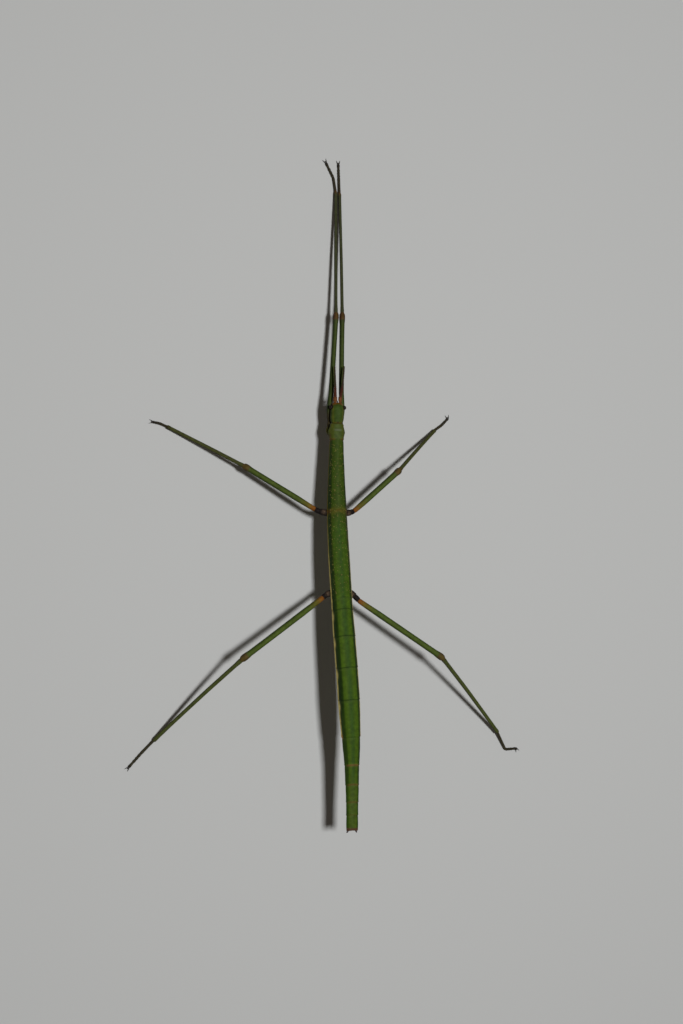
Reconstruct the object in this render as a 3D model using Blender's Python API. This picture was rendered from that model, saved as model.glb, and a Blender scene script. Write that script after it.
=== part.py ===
"""Giant stick insect: an adult female at life size, standing still on its six feet.

Sizes are in millimetres and angles in degrees, and each mesh is written in metres.
+Y is the way the head points, +X is the insect's right and +Z is up. The feet stand on z = 0.
Places along the body are given as the level distance behind the front of the head.
Neighbouring pieces keep a gap of 0.3 mm, so each one is a closed body of its own.
"""
import math

import bpy
import numpy as np

MM = 0.001
GAP = 0.3
UP = np.array((0.0, 0.0, 1.0))
RIGHT = np.array((1.0, 0.0, 0.0))
SIDES = ((-1.0, "left"), (1.0, "right"))
SHARP_EDGE = 40.0

# Body pieces from front to back, with their level lengths.
BODY_LENGTHS = {
    "head": 7.5,
    "prothorax": 5.8,
    "mesothorax": 25.2,
    "metathorax": 30.0,
    "median_segment": 4.0,
    "abdomen_2": 9.1,
    "abdomen_3": 10.6,
    "abdomen_4": 10.9,
    "abdomen_5": 12.7,
    "abdomen_6": 9.6,
    "abdomen_7": 6.8,
    "abdomen_8": 5.8,
    "abdomen_9": 4.4,
    "abdomen_10": 5.3,
}

# Line through the middle of the body: distance behind the front, offset to the right, height.
# The tail is carried higher than the head, and the hind body curves a little to the right.
BODY_LINE = (
    (0.0, -1.15, 14.2),
    (13.3, -1.7, 14.6),
    (38.5, -2.2, 17.2),
    (68.5, -1.35, 20.6),
    (103.1, 0.33, 24.2),
    (125.0, 1.1, 25.3),
    (147.7, 0.95, 26.1),
)

# Outline behind the head: distance behind the front, full width, height as a share of the width.
BODY_OUTLINE = (
    (7.5, 4.2, 0.90),
    (10.3, 5.4, 0.88),
    (13.3, 4.95, 0.90),
    (17.0, 5.15, 0.90),
    (27.0, 6.0, 0.90),
    (38.5, 6.8, 0.86),
    (59.0, 7.4, 0.84),
    (68.5, 7.2, 0.85),
    (82.0, 7.55, 0.86),
    (103.0, 7.45, 0.87),
    (116.0, 6.35, 0.87),
    (125.0, 4.7, 0.88),
    (132.0, 4.3, 0.86),
    (138.0, 3.85, 0.80),
    (147.7, 3.65, 0.74),
)
STARTS = dict(zip(BODY_LENGTHS, np.cumsum([0.0] + list(BODY_LENGTHS.values()))))
BODY_LENGTH = sum(BODY_LENGTHS.values())
TAIL_START = STARTS["abdomen_8"]
FRONT_Y = STARTS["metathorax"]
BODY_SIDES = 20
BODY_SQUARENESS = 0.93
RING_SPACING = 4.5

# A body ring: the front edge is drawn in to slide under the ring before it, the hind edge flares.
COLLAR_LENGTH = 0.7
COLLAR_SCALE = 0.95
FLARE_SCALE = 1.02

# Groove across the middle of the prothorax, and how far its hind edge reaches forward.
GROOVE_AT = 0.46
GROOVE_SCALE = 0.95
GROOVE_HALF_WIDTH = 0.45
HIND_EDGE = 0.8

# Head: distance behind the front, full width, height, drop of the middle below the body line.
HEAD_RINGS = (
    (0.15, 2.5, 1.7, 0.55),
    (0.5, 3.3, 2.5, 0.40),
    (1.3, 3.8, 3.2, 0.25),
    (2.4, 4.15, 3.6, 0.12),
    (3.8, 4.3, 3.75, 0.05),
    (5.4, 4.3, 3.65, 0.0),
    (6.6, 4.1, 3.35, 0.0),
    (7.3, 3.6, 2.8, 0.0),
)
EYE_RADIUS = 0.7
EYE_BEHIND_FRONT = 1.9
EYE_OUT = 2.35
EYE_RISE = 0.35
EYE_BANDS = 8
EYE_SIDES = 14

# Mouthparts below the front of the head: share of the length, then shares of the width and depth.
MOUTH_BELOW = 2.25
MOUTH_LENGTH = 2.8
MOUTH_WIDTH = 2.2
MOUTH_DEPTH = 1.5
MOUTH_RINGS = (
    (0.0, 0.62, 0.5),
    (0.2, 0.9, 0.85),
    (0.55, 1.0, 1.0),
    (0.85, 0.8, 0.7),
    (1.0, 0.5, 0.4),
)
MOUTH_SIDES = 12
PALP_LENGTH = 1.6
PALP_OUT = 0.45
PALP_BELOW = 2.7
PALP_AHEAD = 0.5
PALP_RADIUS = 0.27
PALP_DROOP = 1.8

# Feelers: a stout first joint and a short thread that spreads a little over the front thighs.
ANTENNA_LENGTH = 12.6
ANTENNA_OUT = 0.95
ANTENNA_RISE = 0.35
ANTENNA_TIP_RIGHT = 0.75
ANTENNA_TIP_DROP = 0.9
ANTENNA_TIP_SPREAD = 1.75
ANTENNA_ARCH = 0.35
ANTENNA_RINGS = (
    (0.0, 0.36),
    (0.045, 0.46),
    (0.13, 0.45),
    (0.165, 0.32),
    (0.21, 0.36),
    (0.4, 0.32),
    (0.7, 0.29),
    (1.0, 0.27),
)

# Tail: the boat-shaped plate under the last rings, and the two short cerci at the hind corners.
# The plate's rings give the share of its length, then the shares of its width and depth.
TAIL_UNDERSIDE = 1.0
TAIL_NOTCH = 0.9
OPERCULUM_LENGTH = 13.0
OPERCULUM_WIDTH = 2.9
OPERCULUM_DEPTH = 1.1
OPERCULUM_EDGE = 0.08
OPERCULUM_SIDES = 8
OPERCULUM_RINGS = (
    (0.0, 0.62, 0.45),
    (0.12, 0.85, 0.80),
    (0.4, 1.0, 1.0),
    (0.7, 0.92, 0.90),
    (0.9, 0.6, 0.60),
    (1.0, 0.28, 0.42),
)
CERCUS_LENGTH = 1.1
CERCUS_RADIUS = 0.36
CERCUS_TIP_RADIUS = 0.27
CERCUS_OUT = 1.3
CERCUS_BELOW = 0.35
CERCUS_SPREAD = 24.0

# Where each pair of legs joins the body: distance behind the front, slope of the side it leaves,
# and how far the hip joint lies below the body line.
# The front hips lie along the body and point ahead, and the others stand out from its side.
HIPS = {
    "fore": {"behind": 11.0, "slope": 52.0, "below": 2.9},
    "mid": {"behind": 38.6, "slope": 24.0, "below": 2.6},
    "hind": {"behind": 65.8, "slope": 30.0, "below": 2.0},
}
COXA_RADIUS = 1.2
HIP_RADIUS = 0.88
FORE_HIP_SCALE = 0.85
TROCHANTER_SHARE = 0.42

# Sizes of each pair: full width and height of the thigh, full width of the shin, and the bows.
LEG_SIZES = {
    "fore": {"femur": (1.85, 2.05), "tibia": 1.1, "femur_bow": 0.0, "tibia_bow": 0.1},
    "mid": {"femur": (2.15, 2.3), "tibia": 1.4, "femur_bow": 0.25, "tibia_bow": 0.1},
    "hind": {"femur": (2.2, 2.35), "tibia": 1.5, "femur_bow": 0.3, "tibia_bow": 0.25},
}

# The front thighs bend outward round the head: share of the length, offset outward.
FORE_THIGH_CURVE = (
    (0.0, 0.0),
    (0.05, 0.35),
    (0.11, 0.6),
    (0.18, 0.4),
    (0.27, 0.1),
    (0.4, 0.0),
    (1.0, 0.0),
)
LEG_SIDES = 10
LEG_SQUARENESS = 0.9

# Rings of a thigh and a shin: share of the length, then shares of the full width and height.
FEMUR_RINGS = (
    (0.0, 0.80, 0.78),
    (0.05, 0.86, 0.88),
    (0.11, 0.91, 0.93),
    (0.18, 0.96, 0.97),
    (0.27, 1.0, 1.0),
    (0.7, 0.97, 0.97),
    (0.93, 1.02, 1.03),
    (0.965, 1.16, 1.12),
    (1.0, 1.0, 0.95),
)
TIBIA_RINGS = (
    (0.0, 1.10, 1.15),
    (0.03, 1.15, 1.20),
    (0.08, 0.98, 1.05),
    (0.4, 0.95, 1.0),
    (0.8, 0.90, 0.95),
    (0.97, 0.98, 1.0),
    (1.0, 0.80, 0.85),
)

# Foot: a sloping first joint and a flat run of short joints. Share of the length, share of the width.
TARSUS_WIDTH = 1.0
TARSUS_SIDES = 8
SOLE_DROP = 0.34
FOOT_SLOPE_RINGS = ((0.0, 0.80), (0.25, 0.78), (0.8, 0.92), (1.0, 0.86))
FOOT_FLAT_RINGS = (
    (0.14, 1.0),
    (0.22, 0.78),
    (0.34, 1.0),
    (0.42, 0.76),
    (0.54, 0.98),
    (0.62, 0.74),
    (0.9, 0.9),
    (1.0, 0.62),
)

# Pose of each leg. "hip" is how far the hip joint stands out from the body line, and ahead of the
# place the leg leaves it. The rest are lengths with headings, which turn from straight ahead
# towards the leg's own side, and the heights of the knee and the ankle.
# The right middle leg has grown again after a loss, so its thigh and shin are shorter.
LEGS = {
    "fore_left": {
        "hip": (1.85, 4.06), "femur": (38.1, -4.5), "knee_height": 9.0, "tibia": (45.7, -2.25),
        "ankle_height": 1.3, "foot": (5.05, 7.4), "toe": (6.0, 27.0), "claws": 27.0,
    },
    "fore_right": {
        "hip": (2.16, 4.10), "femur": (38.1, 1.85), "knee_height": 9.0, "tibia": (45.2, 1.2),
        "ankle_height": 1.3, "foot": (5.5, -0.6), "toe": (5.0, -1.7), "claws": -1.7,
    },
    "mid_left": {
        "hip": (7.24, 1.39), "femur": (28.4, 57.8), "knee_height": 9.0, "tibia": (30.8, 61.9),
        "ankle_height": 1.3, "foot": (2.6, 65.3), "toe": (2.5, 79.4), "claws": 79.0,
    },
    "mid_right": {
        "hip": (6.70, 0.69), "femur": (21.5, 48.3), "knee_height": 16.0, "tibia": (27.5, 49.6),
        "ankle_height": 1.3, "foot": (3.4, 56.3), "toe": (3.4, 44.2), "claws": -12.0,
    },
    "hind_left": {
        "hip": (6.07, -1.78), "femur": (35.2, 125.1), "knee_height": 22.0, "tibia": (45.7, 137.0),
        "ankle_height": 1.3, "foot": (6.1, 135.9), "toe": (6.5, 137.5), "claws": 137.5,
    },
    "hind_right": {
        "hip": (6.70, -3.40), "femur": (35.5, 124.6), "knee_height": 22.5, "tibia": (45.0, 137.1),
        "ankle_height": 2.6, "foot": (7.6, 151.1), "toe": (4.3, 87.0), "claws": 150.0,
    },
}
CLAW_LENGTH = 1.7
CLAW_SPREAD = 26.0
CLAW_RADIUS = 0.27
CLAW_ARCH = 0.12
CLAW_CLEARANCE = 0.03
CLAW_OUT = 0.15
CLAW_ROOT = 0.5

# Colour and roughness: the metallic value is 0 everywhere, because all of it is horn and skin.
FINISHES = {
    "green": ((0.045, 0.125, 0.018), 0.42),
    "head_green": ((0.060, 0.120, 0.022), 0.45),
    "leg_green": ((0.075, 0.125, 0.022), 0.45),
    "hip_brown": ((0.035, 0.020, 0.015), 0.40),
    "shin_olive": ((0.085, 0.110, 0.025), 0.45),
    "foot_brown": ((0.075, 0.055, 0.030), 0.50),
    "feeler_brown": ((0.160, 0.085, 0.055), 0.50),
    "eye_black": ((0.012, 0.010, 0.009), 0.20),
    "tail_brown": ((0.110, 0.055, 0.030), 0.45),
}


def unit(vector):
    """The vector at length one."""
    return vector / np.linalg.norm(vector)


def smooth(stations, where):
    """Values on a smooth line through the stations: cubic pieces that never overshoot."""
    table = np.array(stations, dtype=float)
    x, y = table[:, 0], table[:, 1:]
    step = np.diff(x)[:, None]
    slope = np.diff(y, axis=0) / step
    tangent = np.zeros_like(y)
    same_way = slope[:-1] * slope[1:] > 0.0
    safe = np.where(same_way, slope[:-1] + slope[1:], 1.0)
    tangent[1:-1] = np.where(same_way, 2.0 * slope[:-1] * slope[1:] / safe, 0.0)
    tangent[0], tangent[-1] = slope[0], slope[-1]
    piece = int(np.clip(np.searchsorted(x, where) - 1, 0, len(x) - 2))
    width = x[piece + 1] - x[piece]
    t = np.clip((where - x[piece]) / width, 0.0, 1.0)
    rise = t * t * (3.0 - 2.0 * t)
    lead = t * (1.0 - t) ** 2 * width
    tail = -t * t * (1.0 - t) * width
    return y[piece] * (1.0 - rise) + y[piece + 1] * rise + lead * tangent[piece] + tail * tangent[piece + 1]


def body_point(behind):
    """A place on the body line."""
    right, height = smooth(BODY_LINE, behind)
    return np.array((right, FRONT_Y - behind, height))


def body_frame(behind):
    """The body line's three directions at one place: forward, to the right, and up."""
    forward = unit(body_point(behind - 0.5) - body_point(behind + 0.5))
    right = unit(np.cross(forward, UP))
    return forward, right, np.cross(right, forward)


def oval(half_width, half_height, sides, half_depth=None, squareness=1.0):
    """A closed oval as (right, up) pairs: half_depth is its reach below, if that differs."""
    angle = 2.0 * math.pi * (np.arange(sides) + 0.5) / sides
    right = np.sign(np.cos(angle)) * np.abs(np.cos(angle)) ** squareness
    rise = np.sign(np.sin(angle)) * np.abs(np.sin(angle)) ** squareness
    depth = half_height if half_depth is None else half_depth
    return np.stack((right * half_width, np.where(rise > 0.0, rise * half_height, rise * depth)), axis=1)


def ring(centre, right, up, pairs):
    """The points of an oval carried to a centre and its two directions."""
    return centre + pairs[:, :1] * right + pairs[:, 1:] * up


def heading_vector(heading, side, pitch=0.0):
    """A direction that turns from straight ahead towards the given side, and climbs by pitch."""
    turn, climb = math.radians(heading), math.radians(pitch)
    level = math.cos(climb)
    return np.array((side * math.sin(turn) * level, math.cos(turn) * level, math.sin(climb)))


def slide_to_plane(points, direction, origin, normal):
    """Move points along a direction until they lie in the plane through origin."""
    travel = ((origin - points) @ normal) / (direction @ normal)
    return points + travel[:, None] * direction


def finish(name):
    """One of the insect's finishes as a Principled material."""
    material = bpy.data.materials.get(name)
    if material is None:
        colour, roughness = FINISHES[name]
        material = bpy.data.materials.new(name)
        material.use_nodes = True
        shader = material.node_tree.nodes["Principled BSDF"]
        shader.inputs["Base Color"].default_value = (*colour, 1.0)
        shader.inputs["Roughness"].default_value = roughness
        shader.inputs["Metallic"].default_value = 0.0
        material.diffuse_color = (*colour, 1.0)
    return material


def make_object(name, points, faces, finish_name):
    """A smooth-shaded object on the insect's stand point, from points in millimetres."""
    mesh = bpy.data.meshes.new(name)
    mesh.from_pydata((points * MM).tolist(), [], faces)
    mesh.shade_smooth()
    mesh.set_sharp_from_angle(angle=math.radians(SHARP_EDGE))
    mesh.materials.append(finish(finish_name))
    piece = bpy.data.objects.new(name, mesh)
    bpy.context.scene.collection.objects.link(piece)
    piece.parent = stand_point
    return piece


def loft(name, rings, finish_name, end_tip=None):
    """A closed body through equal rings of points, each turning the same way round.

    Both ends are flat, except that end_tip closes the last ring in a fan to one point.
    """
    sides = len(rings[0])
    points = np.concatenate(rings)
    faces = []
    for row in range(len(rings) - 1):
        low, high = row * sides, (row + 1) * sides
        for k in range(sides):
            after = (k + 1) % sides
            faces.append((low + k, low + after, high + after, high + k))
    last = (len(rings) - 1) * sides
    faces.append(tuple(reversed(range(sides))))
    if end_tip is None:
        faces.append(tuple(range(last, last + sides)))
    else:
        points = np.vstack((points, end_tip))
        tip = len(points) - 1
        for k in range(sides):
            faces.append((last + k, last + (k + 1) % sides, tip))
    volume = signed_volume(points, faces)
    if volume < 0.0:
        faces = [tuple(reversed(face)) for face in faces]
    return make_object(name, points, faces, finish_name)


def signed_volume(points, faces):
    """Six times the volume inside the faces, below zero where they face inwards."""
    total = 0.0
    for face in faces:
        first = points[face[0]]
        for k in range(1, len(face) - 1):
            total += np.dot(first, np.cross(points[face[k]], points[face[k + 1]]))
    return total


def body_section(behind, scale=1.0):
    """The body's outline at one place as (right, up) pairs."""
    width, share = smooth(BODY_OUTLINE, behind)
    half_width = 0.5 * width * scale
    half_height = half_width * share
    half_depth = half_height
    if behind > TAIL_START:
        half_depth = min(half_height, TAIL_UNDERSIDE)
    return oval(half_width, half_height, BODY_SIDES, half_depth, BODY_SQUARENESS)


def body_ring(behind, scale=1.0):
    """A ring of points round the body at one place."""
    _, right, up = body_frame(behind)
    return ring(body_point(behind), right, up, body_section(behind, scale))


def make_body_piece(name):
    """One ring of the body: drawn in at the front edge, flared at the hind edge."""
    start = STARTS[name] + 0.5 * GAP
    end = STARTS[name] + BODY_LENGTHS[name] - 0.5 * GAP
    length = end - start
    rings = [body_ring(start, COLLAR_SCALE), body_ring(start + COLLAR_LENGTH)]
    spans = max(2, round((length - COLLAR_LENGTH) / RING_SPACING))
    for k in range(1, spans):
        rings.append(body_ring(start + COLLAR_LENGTH + (length - COLLAR_LENGTH) * k / spans))
    rings.append(body_ring(end, FLARE_SCALE))
    return loft(name, rings, "green")


def make_prothorax():
    """The short first ring of the chest, with a groove across its back."""
    start = STARTS["prothorax"] + 0.5 * GAP
    end = start + BODY_LENGTHS["prothorax"] - GAP
    middle = start + GROOVE_AT * (end - start)
    rings = [
        body_ring(start, COLLAR_SCALE),
        body_ring(start + COLLAR_LENGTH),
        body_ring(middle - GROOVE_HALF_WIDTH),
        body_ring(middle, GROOVE_SCALE),
        body_ring(middle + GROOVE_HALF_WIDTH),
        body_ring(end - HIND_EDGE),
        body_ring(end, FLARE_SCALE),
    ]
    return loft("prothorax", rings, "green")


def make_tail_end():
    """The last ring, with a shallow notch in its hind edge."""
    start = STARTS["abdomen_10"] + 0.5 * GAP
    end = BODY_LENGTH - 0.5 * GAP
    rings = [body_ring(start, COLLAR_SCALE), body_ring(start + COLLAR_LENGTH)]
    rings.append(body_ring(0.5 * (start + end)))
    rings.append(body_ring(end, FLARE_SCALE))
    return loft("abdomen_10", rings, "green", body_point(end - TAIL_NOTCH))


def head_ring(behind, width, height, drop):
    """A ring of points round the head."""
    _, right, up = body_frame(behind)
    pairs = oval(0.5 * width, 0.5 * height, BODY_SIDES, None, BODY_SQUARENESS)
    return ring(body_point(behind) - drop * up, right, up, pairs)


def ball(name, centre, radius, finish_name):
    """A closed ball, as rings from end to end along the insect's width."""
    forward, right, up = body_frame(EYE_BEHIND_FRONT)
    rings = []
    for k in range(EYE_BANDS):
        angle = math.pi * (k + 0.5) / EYE_BANDS
        pairs = oval(radius * math.sin(angle), radius * math.sin(angle), EYE_SIDES)
        rings.append(ring(centre + right * radius * math.cos(angle), forward, up, pairs))
    return loft(name, rings, finish_name)


def eye_centre(side):
    """The middle of one eye."""
    _, right, up = body_frame(EYE_BEHIND_FRONT)
    return body_point(EYE_BEHIND_FRONT) + side * EYE_OUT * right + EYE_RISE * up


def make_head():
    """The head capsule with a round socket in each side, and the two eyes in them."""
    head = loft("head", [head_ring(*row) for row in HEAD_RINGS], "head_green")
    for side, word in SIDES:
        socket = ball("socket_cutter_" + word, eye_centre(side), EYE_RADIUS + GAP, "head_green")
        socket.hide_render = True
        socket.display_type = "WIRE"
        cut = head.modifiers.new("socket_" + word, "BOOLEAN")
        cut.operation = "DIFFERENCE"
        cut.object = socket
        ball("eye_" + word, eye_centre(side), EYE_RADIUS, "eye_black")


def make_mouth():
    """The jaws and upper lip as one rounded wedge under the front of the head, with two palps."""
    forward, right, up = body_frame(1.0)
    rings = []
    for share, width, depth in MOUTH_RINGS:
        half_depth = 0.5 * MOUTH_DEPTH * depth
        pairs = oval(0.5 * MOUTH_WIDTH * width, half_depth, MOUTH_SIDES)
        centre = body_point(share * MOUTH_LENGTH) - (MOUTH_BELOW + half_depth) * up
        rings.append(ring(centre, right, up, pairs))
    loft("mouthparts", rings, "head_green")
    front = body_point(0.0) + PALP_AHEAD * forward - PALP_BELOW * up
    for side, word in SIDES:
        root = front + side * PALP_OUT * right
        tip = root + PALP_LENGTH * unit(forward - PALP_DROOP * up)
        path = [root, 0.5 * (root + tip) + 0.08 * up, tip]
        radii = [PALP_RADIUS, PALP_RADIUS * 1.1, PALP_RADIUS * 0.95]
        make_thread("palp_" + word, path, radii, 6, "feeler_brown")


def make_thread(name, path, radii, sides, finish_name):
    """A thin round body along a line of points, flat at both ends."""
    path = np.array(path)
    rings = []
    for k, radius in enumerate(radii):
        along = unit(path[min(k + 1, len(path) - 1)] - path[max(k - 1, 0)])
        right = unit(np.cross(along, UP))
        rings.append(ring(path[k], right, np.cross(right, along), oval(radius, radius, sides)))
    return loft(name, rings, finish_name)


def make_antennae():
    """The two feelers, from the front of the head forward over the front thighs."""
    forward, right, up = body_frame(0.0)
    front = body_point(0.0) + 0.5 * GAP * forward + ANTENNA_RISE * up
    for side, word in SIDES:
        root = front + side * ANTENNA_OUT * right
        to_right = ANTENNA_TIP_RIGHT + side * ANTENNA_TIP_SPREAD
        tip = front + np.array((to_right, ANTENNA_LENGTH, -ANTENNA_TIP_DROP))
        path = []
        for share, _ in ANTENNA_RINGS:
            path.append(root + (tip - root) * share + ANTENNA_ARCH * math.sin(math.pi * share) * UP)
        radii = [radius for _, radius in ANTENNA_RINGS]
        make_thread("antenna_" + word, path, radii, 8, "feeler_brown")


def make_operculum():
    """The boat-shaped plate below the last rings: flat above, round below, narrow at both ends."""
    start = TAIL_START + 0.5 * GAP
    angle = math.pi * np.arange(OPERCULUM_SIDES + 1) / OPERCULUM_SIDES
    rings = []
    for share, width, depth in OPERCULUM_RINGS:
        behind = start + share * OPERCULUM_LENGTH
        _, right, up = body_frame(behind)
        half_width = 0.5 * OPERCULUM_WIDTH * width
        below = OPERCULUM_EDGE + OPERCULUM_DEPTH * depth * np.sin(angle)
        lower = np.stack((half_width * np.cos(angle), -below), axis=1)
        upper = half_width * np.array(((-0.8, 0.0), (0.0, 0.0), (0.8, 0.0)))
        top = body_point(behind) - (TAIL_UNDERSIDE + GAP) * up
        rings.append(ring(top, right, up, np.vstack((lower, upper))))
    loft("operculum", rings, "green")


def make_cerci():
    """The two short cones that spread from the hind corners of the last ring."""
    forward, right, up = body_frame(BODY_LENGTH)
    spread = math.radians(CERCUS_SPREAD)
    hind = body_point(BODY_LENGTH) - 0.5 * GAP * forward - CERCUS_BELOW * up
    for side, word in SIDES:
        root = hind + side * CERCUS_OUT * right
        tip = root + CERCUS_LENGTH * (side * math.sin(spread) * right - math.cos(spread) * forward)
        path = [root, 0.5 * (root + tip), tip]
        radii = [CERCUS_RADIUS, CERCUS_RADIUS, CERCUS_TIP_RADIUS]
        make_thread("cercus_" + word, path, radii, 8, "tail_brown")


def hip_joint(leg, pair, side):
    """The middle of the coxa's root, the way it leaves the body, and the place the thigh starts."""
    row = HIPS[pair]
    out, ahead = LEGS[leg]["hip"]
    _, right, up = body_frame(row["behind"])
    middle = body_point(row["behind"])
    joint = middle + side * out * right - row["below"] * up
    joint[1] += ahead
    slope = math.radians(row["slope"])
    leaving = side * math.cos(slope) * right - math.sin(slope) * up
    reach = ((body_ring(row["behind"]) - middle) @ leaving).max() + GAP
    if pair == "fore":
        root = middle + leaving * (reach + COXA_RADIUS * FORE_HIP_SCALE)
        return root, unit(joint - root), joint
    return middle + leaving * reach, leaving, joint


def make_hip(leg, pair, side, femur_way):
    """The coxa and the trochanter: one bent stub, cut across into two pieces.

    Returns the direction of the stub's far end.
    """
    root, leaving, joint = hip_joint(leg, pair, side)
    span = np.linalg.norm(joint - root)
    control = 0.5 * (root + joint) + 0.2 * span * (leaving - femur_way)
    cut = 1.0 - TROCHANTER_SHARE
    half_gap = 0.5 * GAP / span
    size = FORE_HIP_SCALE if pair == "fore" else 1.0

    def stub_ring(t, swell=1.0):
        """A ring on the curve from the body's side to the hip joint."""
        centre = (1.0 - t) ** 2 * root + 2.0 * t * (1.0 - t) * control + t * t * joint
        way = unit((1.0 - t) * (control - root) + t * (joint - control))
        if t == 0.0:
            way = leaving
        right = unit(np.cross(way, UP))
        radius = (COXA_RADIUS + (HIP_RADIUS - COXA_RADIUS) * t) * size * swell
        return ring(centre, right, np.cross(right, way), oval(radius, radius, LEG_SIDES))

    coxa_rings = [
        stub_ring(0.0, 0.8),
        stub_ring(0.5 * (cut - half_gap)),
        stub_ring(cut - half_gap, 0.95),
    ]
    loft(leg + "_coxa", coxa_rings, "hip_brown")
    rings = [stub_ring(cut + half_gap, 0.95), stub_ring(0.5 * (cut + 1.0), 1.05)]
    end_way = unit(joint - control)
    normal = unit(end_way + femur_way)
    last = slide_to_plane(stub_ring(1.0, 0.95), end_way, joint - 0.5 * GAP * normal, normal)
    loft(leg + "_trochanter", rings + [last], "hip_brown")
    return end_way


def bowed(profile, bow):
    """The offset of each ring of a limb from the straight line between its joints."""
    return [bow * math.sin(math.pi * row[0]) for row in profile]


def make_limb(name, start, end, profile, sizes, ways, offsets, finish_name):
    """A long leg piece from joint to joint, its ends cut on the line that halves each bend."""
    along = unit(end - start)
    right = unit(np.cross(along, UP))
    up = np.cross(right, along)
    rings = []
    for (share, width, height), offset in zip(profile, offsets):
        centre = start + (end - start) * share + offset
        half_width, half_height = 0.5 * sizes[0] * width, 0.5 * sizes[1] * height
        pairs = oval(half_width, half_height, LEG_SIDES, None, LEG_SQUARENESS)
        rings.append(ring(centre, right, up, pairs))
    way_before, way_after = ways
    start_normal = unit(way_before + along)
    end_normal = unit(along + way_after)
    rings[0] = slide_to_plane(rings[0], along, start + 0.5 * GAP * start_normal, start_normal)
    rings[-1] = slide_to_plane(rings[-1], along, end - 0.5 * GAP * end_normal, end_normal)
    return loft(name, rings, finish_name)


def foot_rings(low, high, profile):
    """Rings of one straight run of the foot."""
    way = unit(high - low)
    right = unit(np.cross(way, UP))
    rings = []
    for share, scale in profile:
        half = 0.5 * TARSUS_WIDTH * scale
        pairs = oval(half, half, TARSUS_SIDES)
        rings.append(ring(low + (high - low) * share, right, np.cross(right, way), pairs))
    return rings


def make_foot(leg, ankle, bend, toe, way_before, claws_way):
    """The jointed foot: it slopes from the ankle to the floor and lies on flats, with two claws.

    Points that would sink below the floor are raised to it, which makes the flat soles.
    """
    slope_way, flat_way = unit(bend - ankle), unit(toe - bend)
    slope = foot_rings(ankle, bend, FOOT_SLOPE_RINGS)
    normal = unit(way_before + slope_way)
    slope[0] = slide_to_plane(slope[0], slope_way, ankle + 0.5 * GAP * normal, normal)
    slope[-1] = slide_to_plane(slope[-1], slope_way, bend, unit(slope_way + flat_way))
    rings = slope + foot_rings(bend, toe, FOOT_FLAT_RINGS)
    for points in rings:
        points[:, 2] = np.maximum(points[:, 2], 0.0)
    foot = loft(leg + "_tarsus", rings, "foot_brown")
    aside = np.array((claws_way[1], -claws_way[0], 0.0))
    for turn, word in ((-1.0, "inner"), (1.0, "outer")):
        spread = math.radians(CLAW_SPREAD) * turn
        claw_way = math.cos(spread) * claws_way + math.sin(spread) * aside
        root = toe - CLAW_ROOT * flat_way + CLAW_OUT * turn * aside
        tip = toe + CLAW_LENGTH * claw_way
        tip[2] = CLAW_RADIUS + CLAW_CLEARANCE
        path = [root, 0.5 * (root + tip) + CLAW_ARCH * UP, tip]
        guide_name = leg + "_claw_guide_" + word
        claw = make_thread(guide_name, path, [CLAW_RADIUS] * 3, 6, "foot_brown")
        claw.hide_render = True
        claw.display_type = "WIRE"
        union = foot.modifiers.new("claw_" + word, "BOOLEAN")
        union.operation = "UNION"
        union.object = claw


def make_leg(leg):
    """One whole leg, posed from its headings and its knee height down to the foot on the floor."""
    pair, word = leg.split("_")
    side = -1.0 if word == "left" else 1.0
    pose, size = LEGS[leg], LEG_SIZES[pair]
    _, _, hip = hip_joint(leg, pair, side)
    femur_length, femur_heading = pose["femur"]
    tibia_length, tibia_heading = pose["tibia"]
    femur_pitch = math.degrees(math.asin((pose["knee_height"] - hip[2]) / femur_length))
    tibia_pitch = math.degrees(math.asin((pose["ankle_height"] - pose["knee_height"]) / tibia_length))
    femur_way = heading_vector(femur_heading, side, femur_pitch)
    tibia_way = heading_vector(tibia_heading, side, tibia_pitch)
    knee = hip + femur_length * femur_way
    ankle = knee + tibia_length * tibia_way
    bend = ankle + pose["foot"][0] * heading_vector(pose["foot"][1], side)
    toe = bend + pose["toe"][0] * heading_vector(pose["toe"][1], side)
    bend[2] = toe[2] = SOLE_DROP * TARSUS_WIDTH
    foot_way = unit(bend - ankle)

    stub_way = make_hip(leg, pair, side, femur_way)
    outward = side * unit(np.cross(tibia_way, UP))
    femur_offsets = bowed(FEMUR_RINGS, size["femur_bow"] * UP)
    tibia_offsets = bowed(TIBIA_RINGS, -size["tibia_bow"] * outward)
    if pair == "fore":
        femur_offsets = [side * smooth(FORE_THIGH_CURVE, row[0])[0] * RIGHT for row in FEMUR_RINGS]
        tibia_offsets = bowed(TIBIA_RINGS, size["tibia_bow"] * outward)
    ways = (stub_way, tibia_way)
    make_limb(leg + "_femur", hip, knee, FEMUR_RINGS, size["femur"], ways, femur_offsets, "leg_green")
    sizes = (size["tibia"], size["tibia"])
    ways = (femur_way, foot_way)
    make_limb(leg + "_tibia", knee, ankle, TIBIA_RINGS, sizes, ways, tibia_offsets, "shin_olive")
    make_foot(leg, ankle, bend, toe, tibia_way, heading_vector(pose["claws"], side))


def centre_on_floor():
    """Move the stand point so that the model's box is centred over the origin, feet on z = 0.

    The claws count and the socket cutters do not.
    """
    bpy.context.view_layer.update()
    corners = []
    for piece in bpy.data.objects:
        if piece.type == "MESH" and "cutter" not in piece.name:
            points = np.empty(len(piece.data.vertices) * 3)
            piece.data.vertices.foreach_get("co", points)
            corners.append(points.reshape(-1, 3))
    points = np.concatenate(corners)
    middle = 0.5 * (points.min(axis=0) + points.max(axis=0))
    stand_point.location = (-middle[0], -middle[1], -points[:, 2].min())


for old in list(bpy.data.objects):
    bpy.data.objects.remove(old, do_unlink=True)

stand_point = bpy.data.objects.new("stand_point", None)
bpy.context.scene.collection.objects.link(stand_point)

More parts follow.
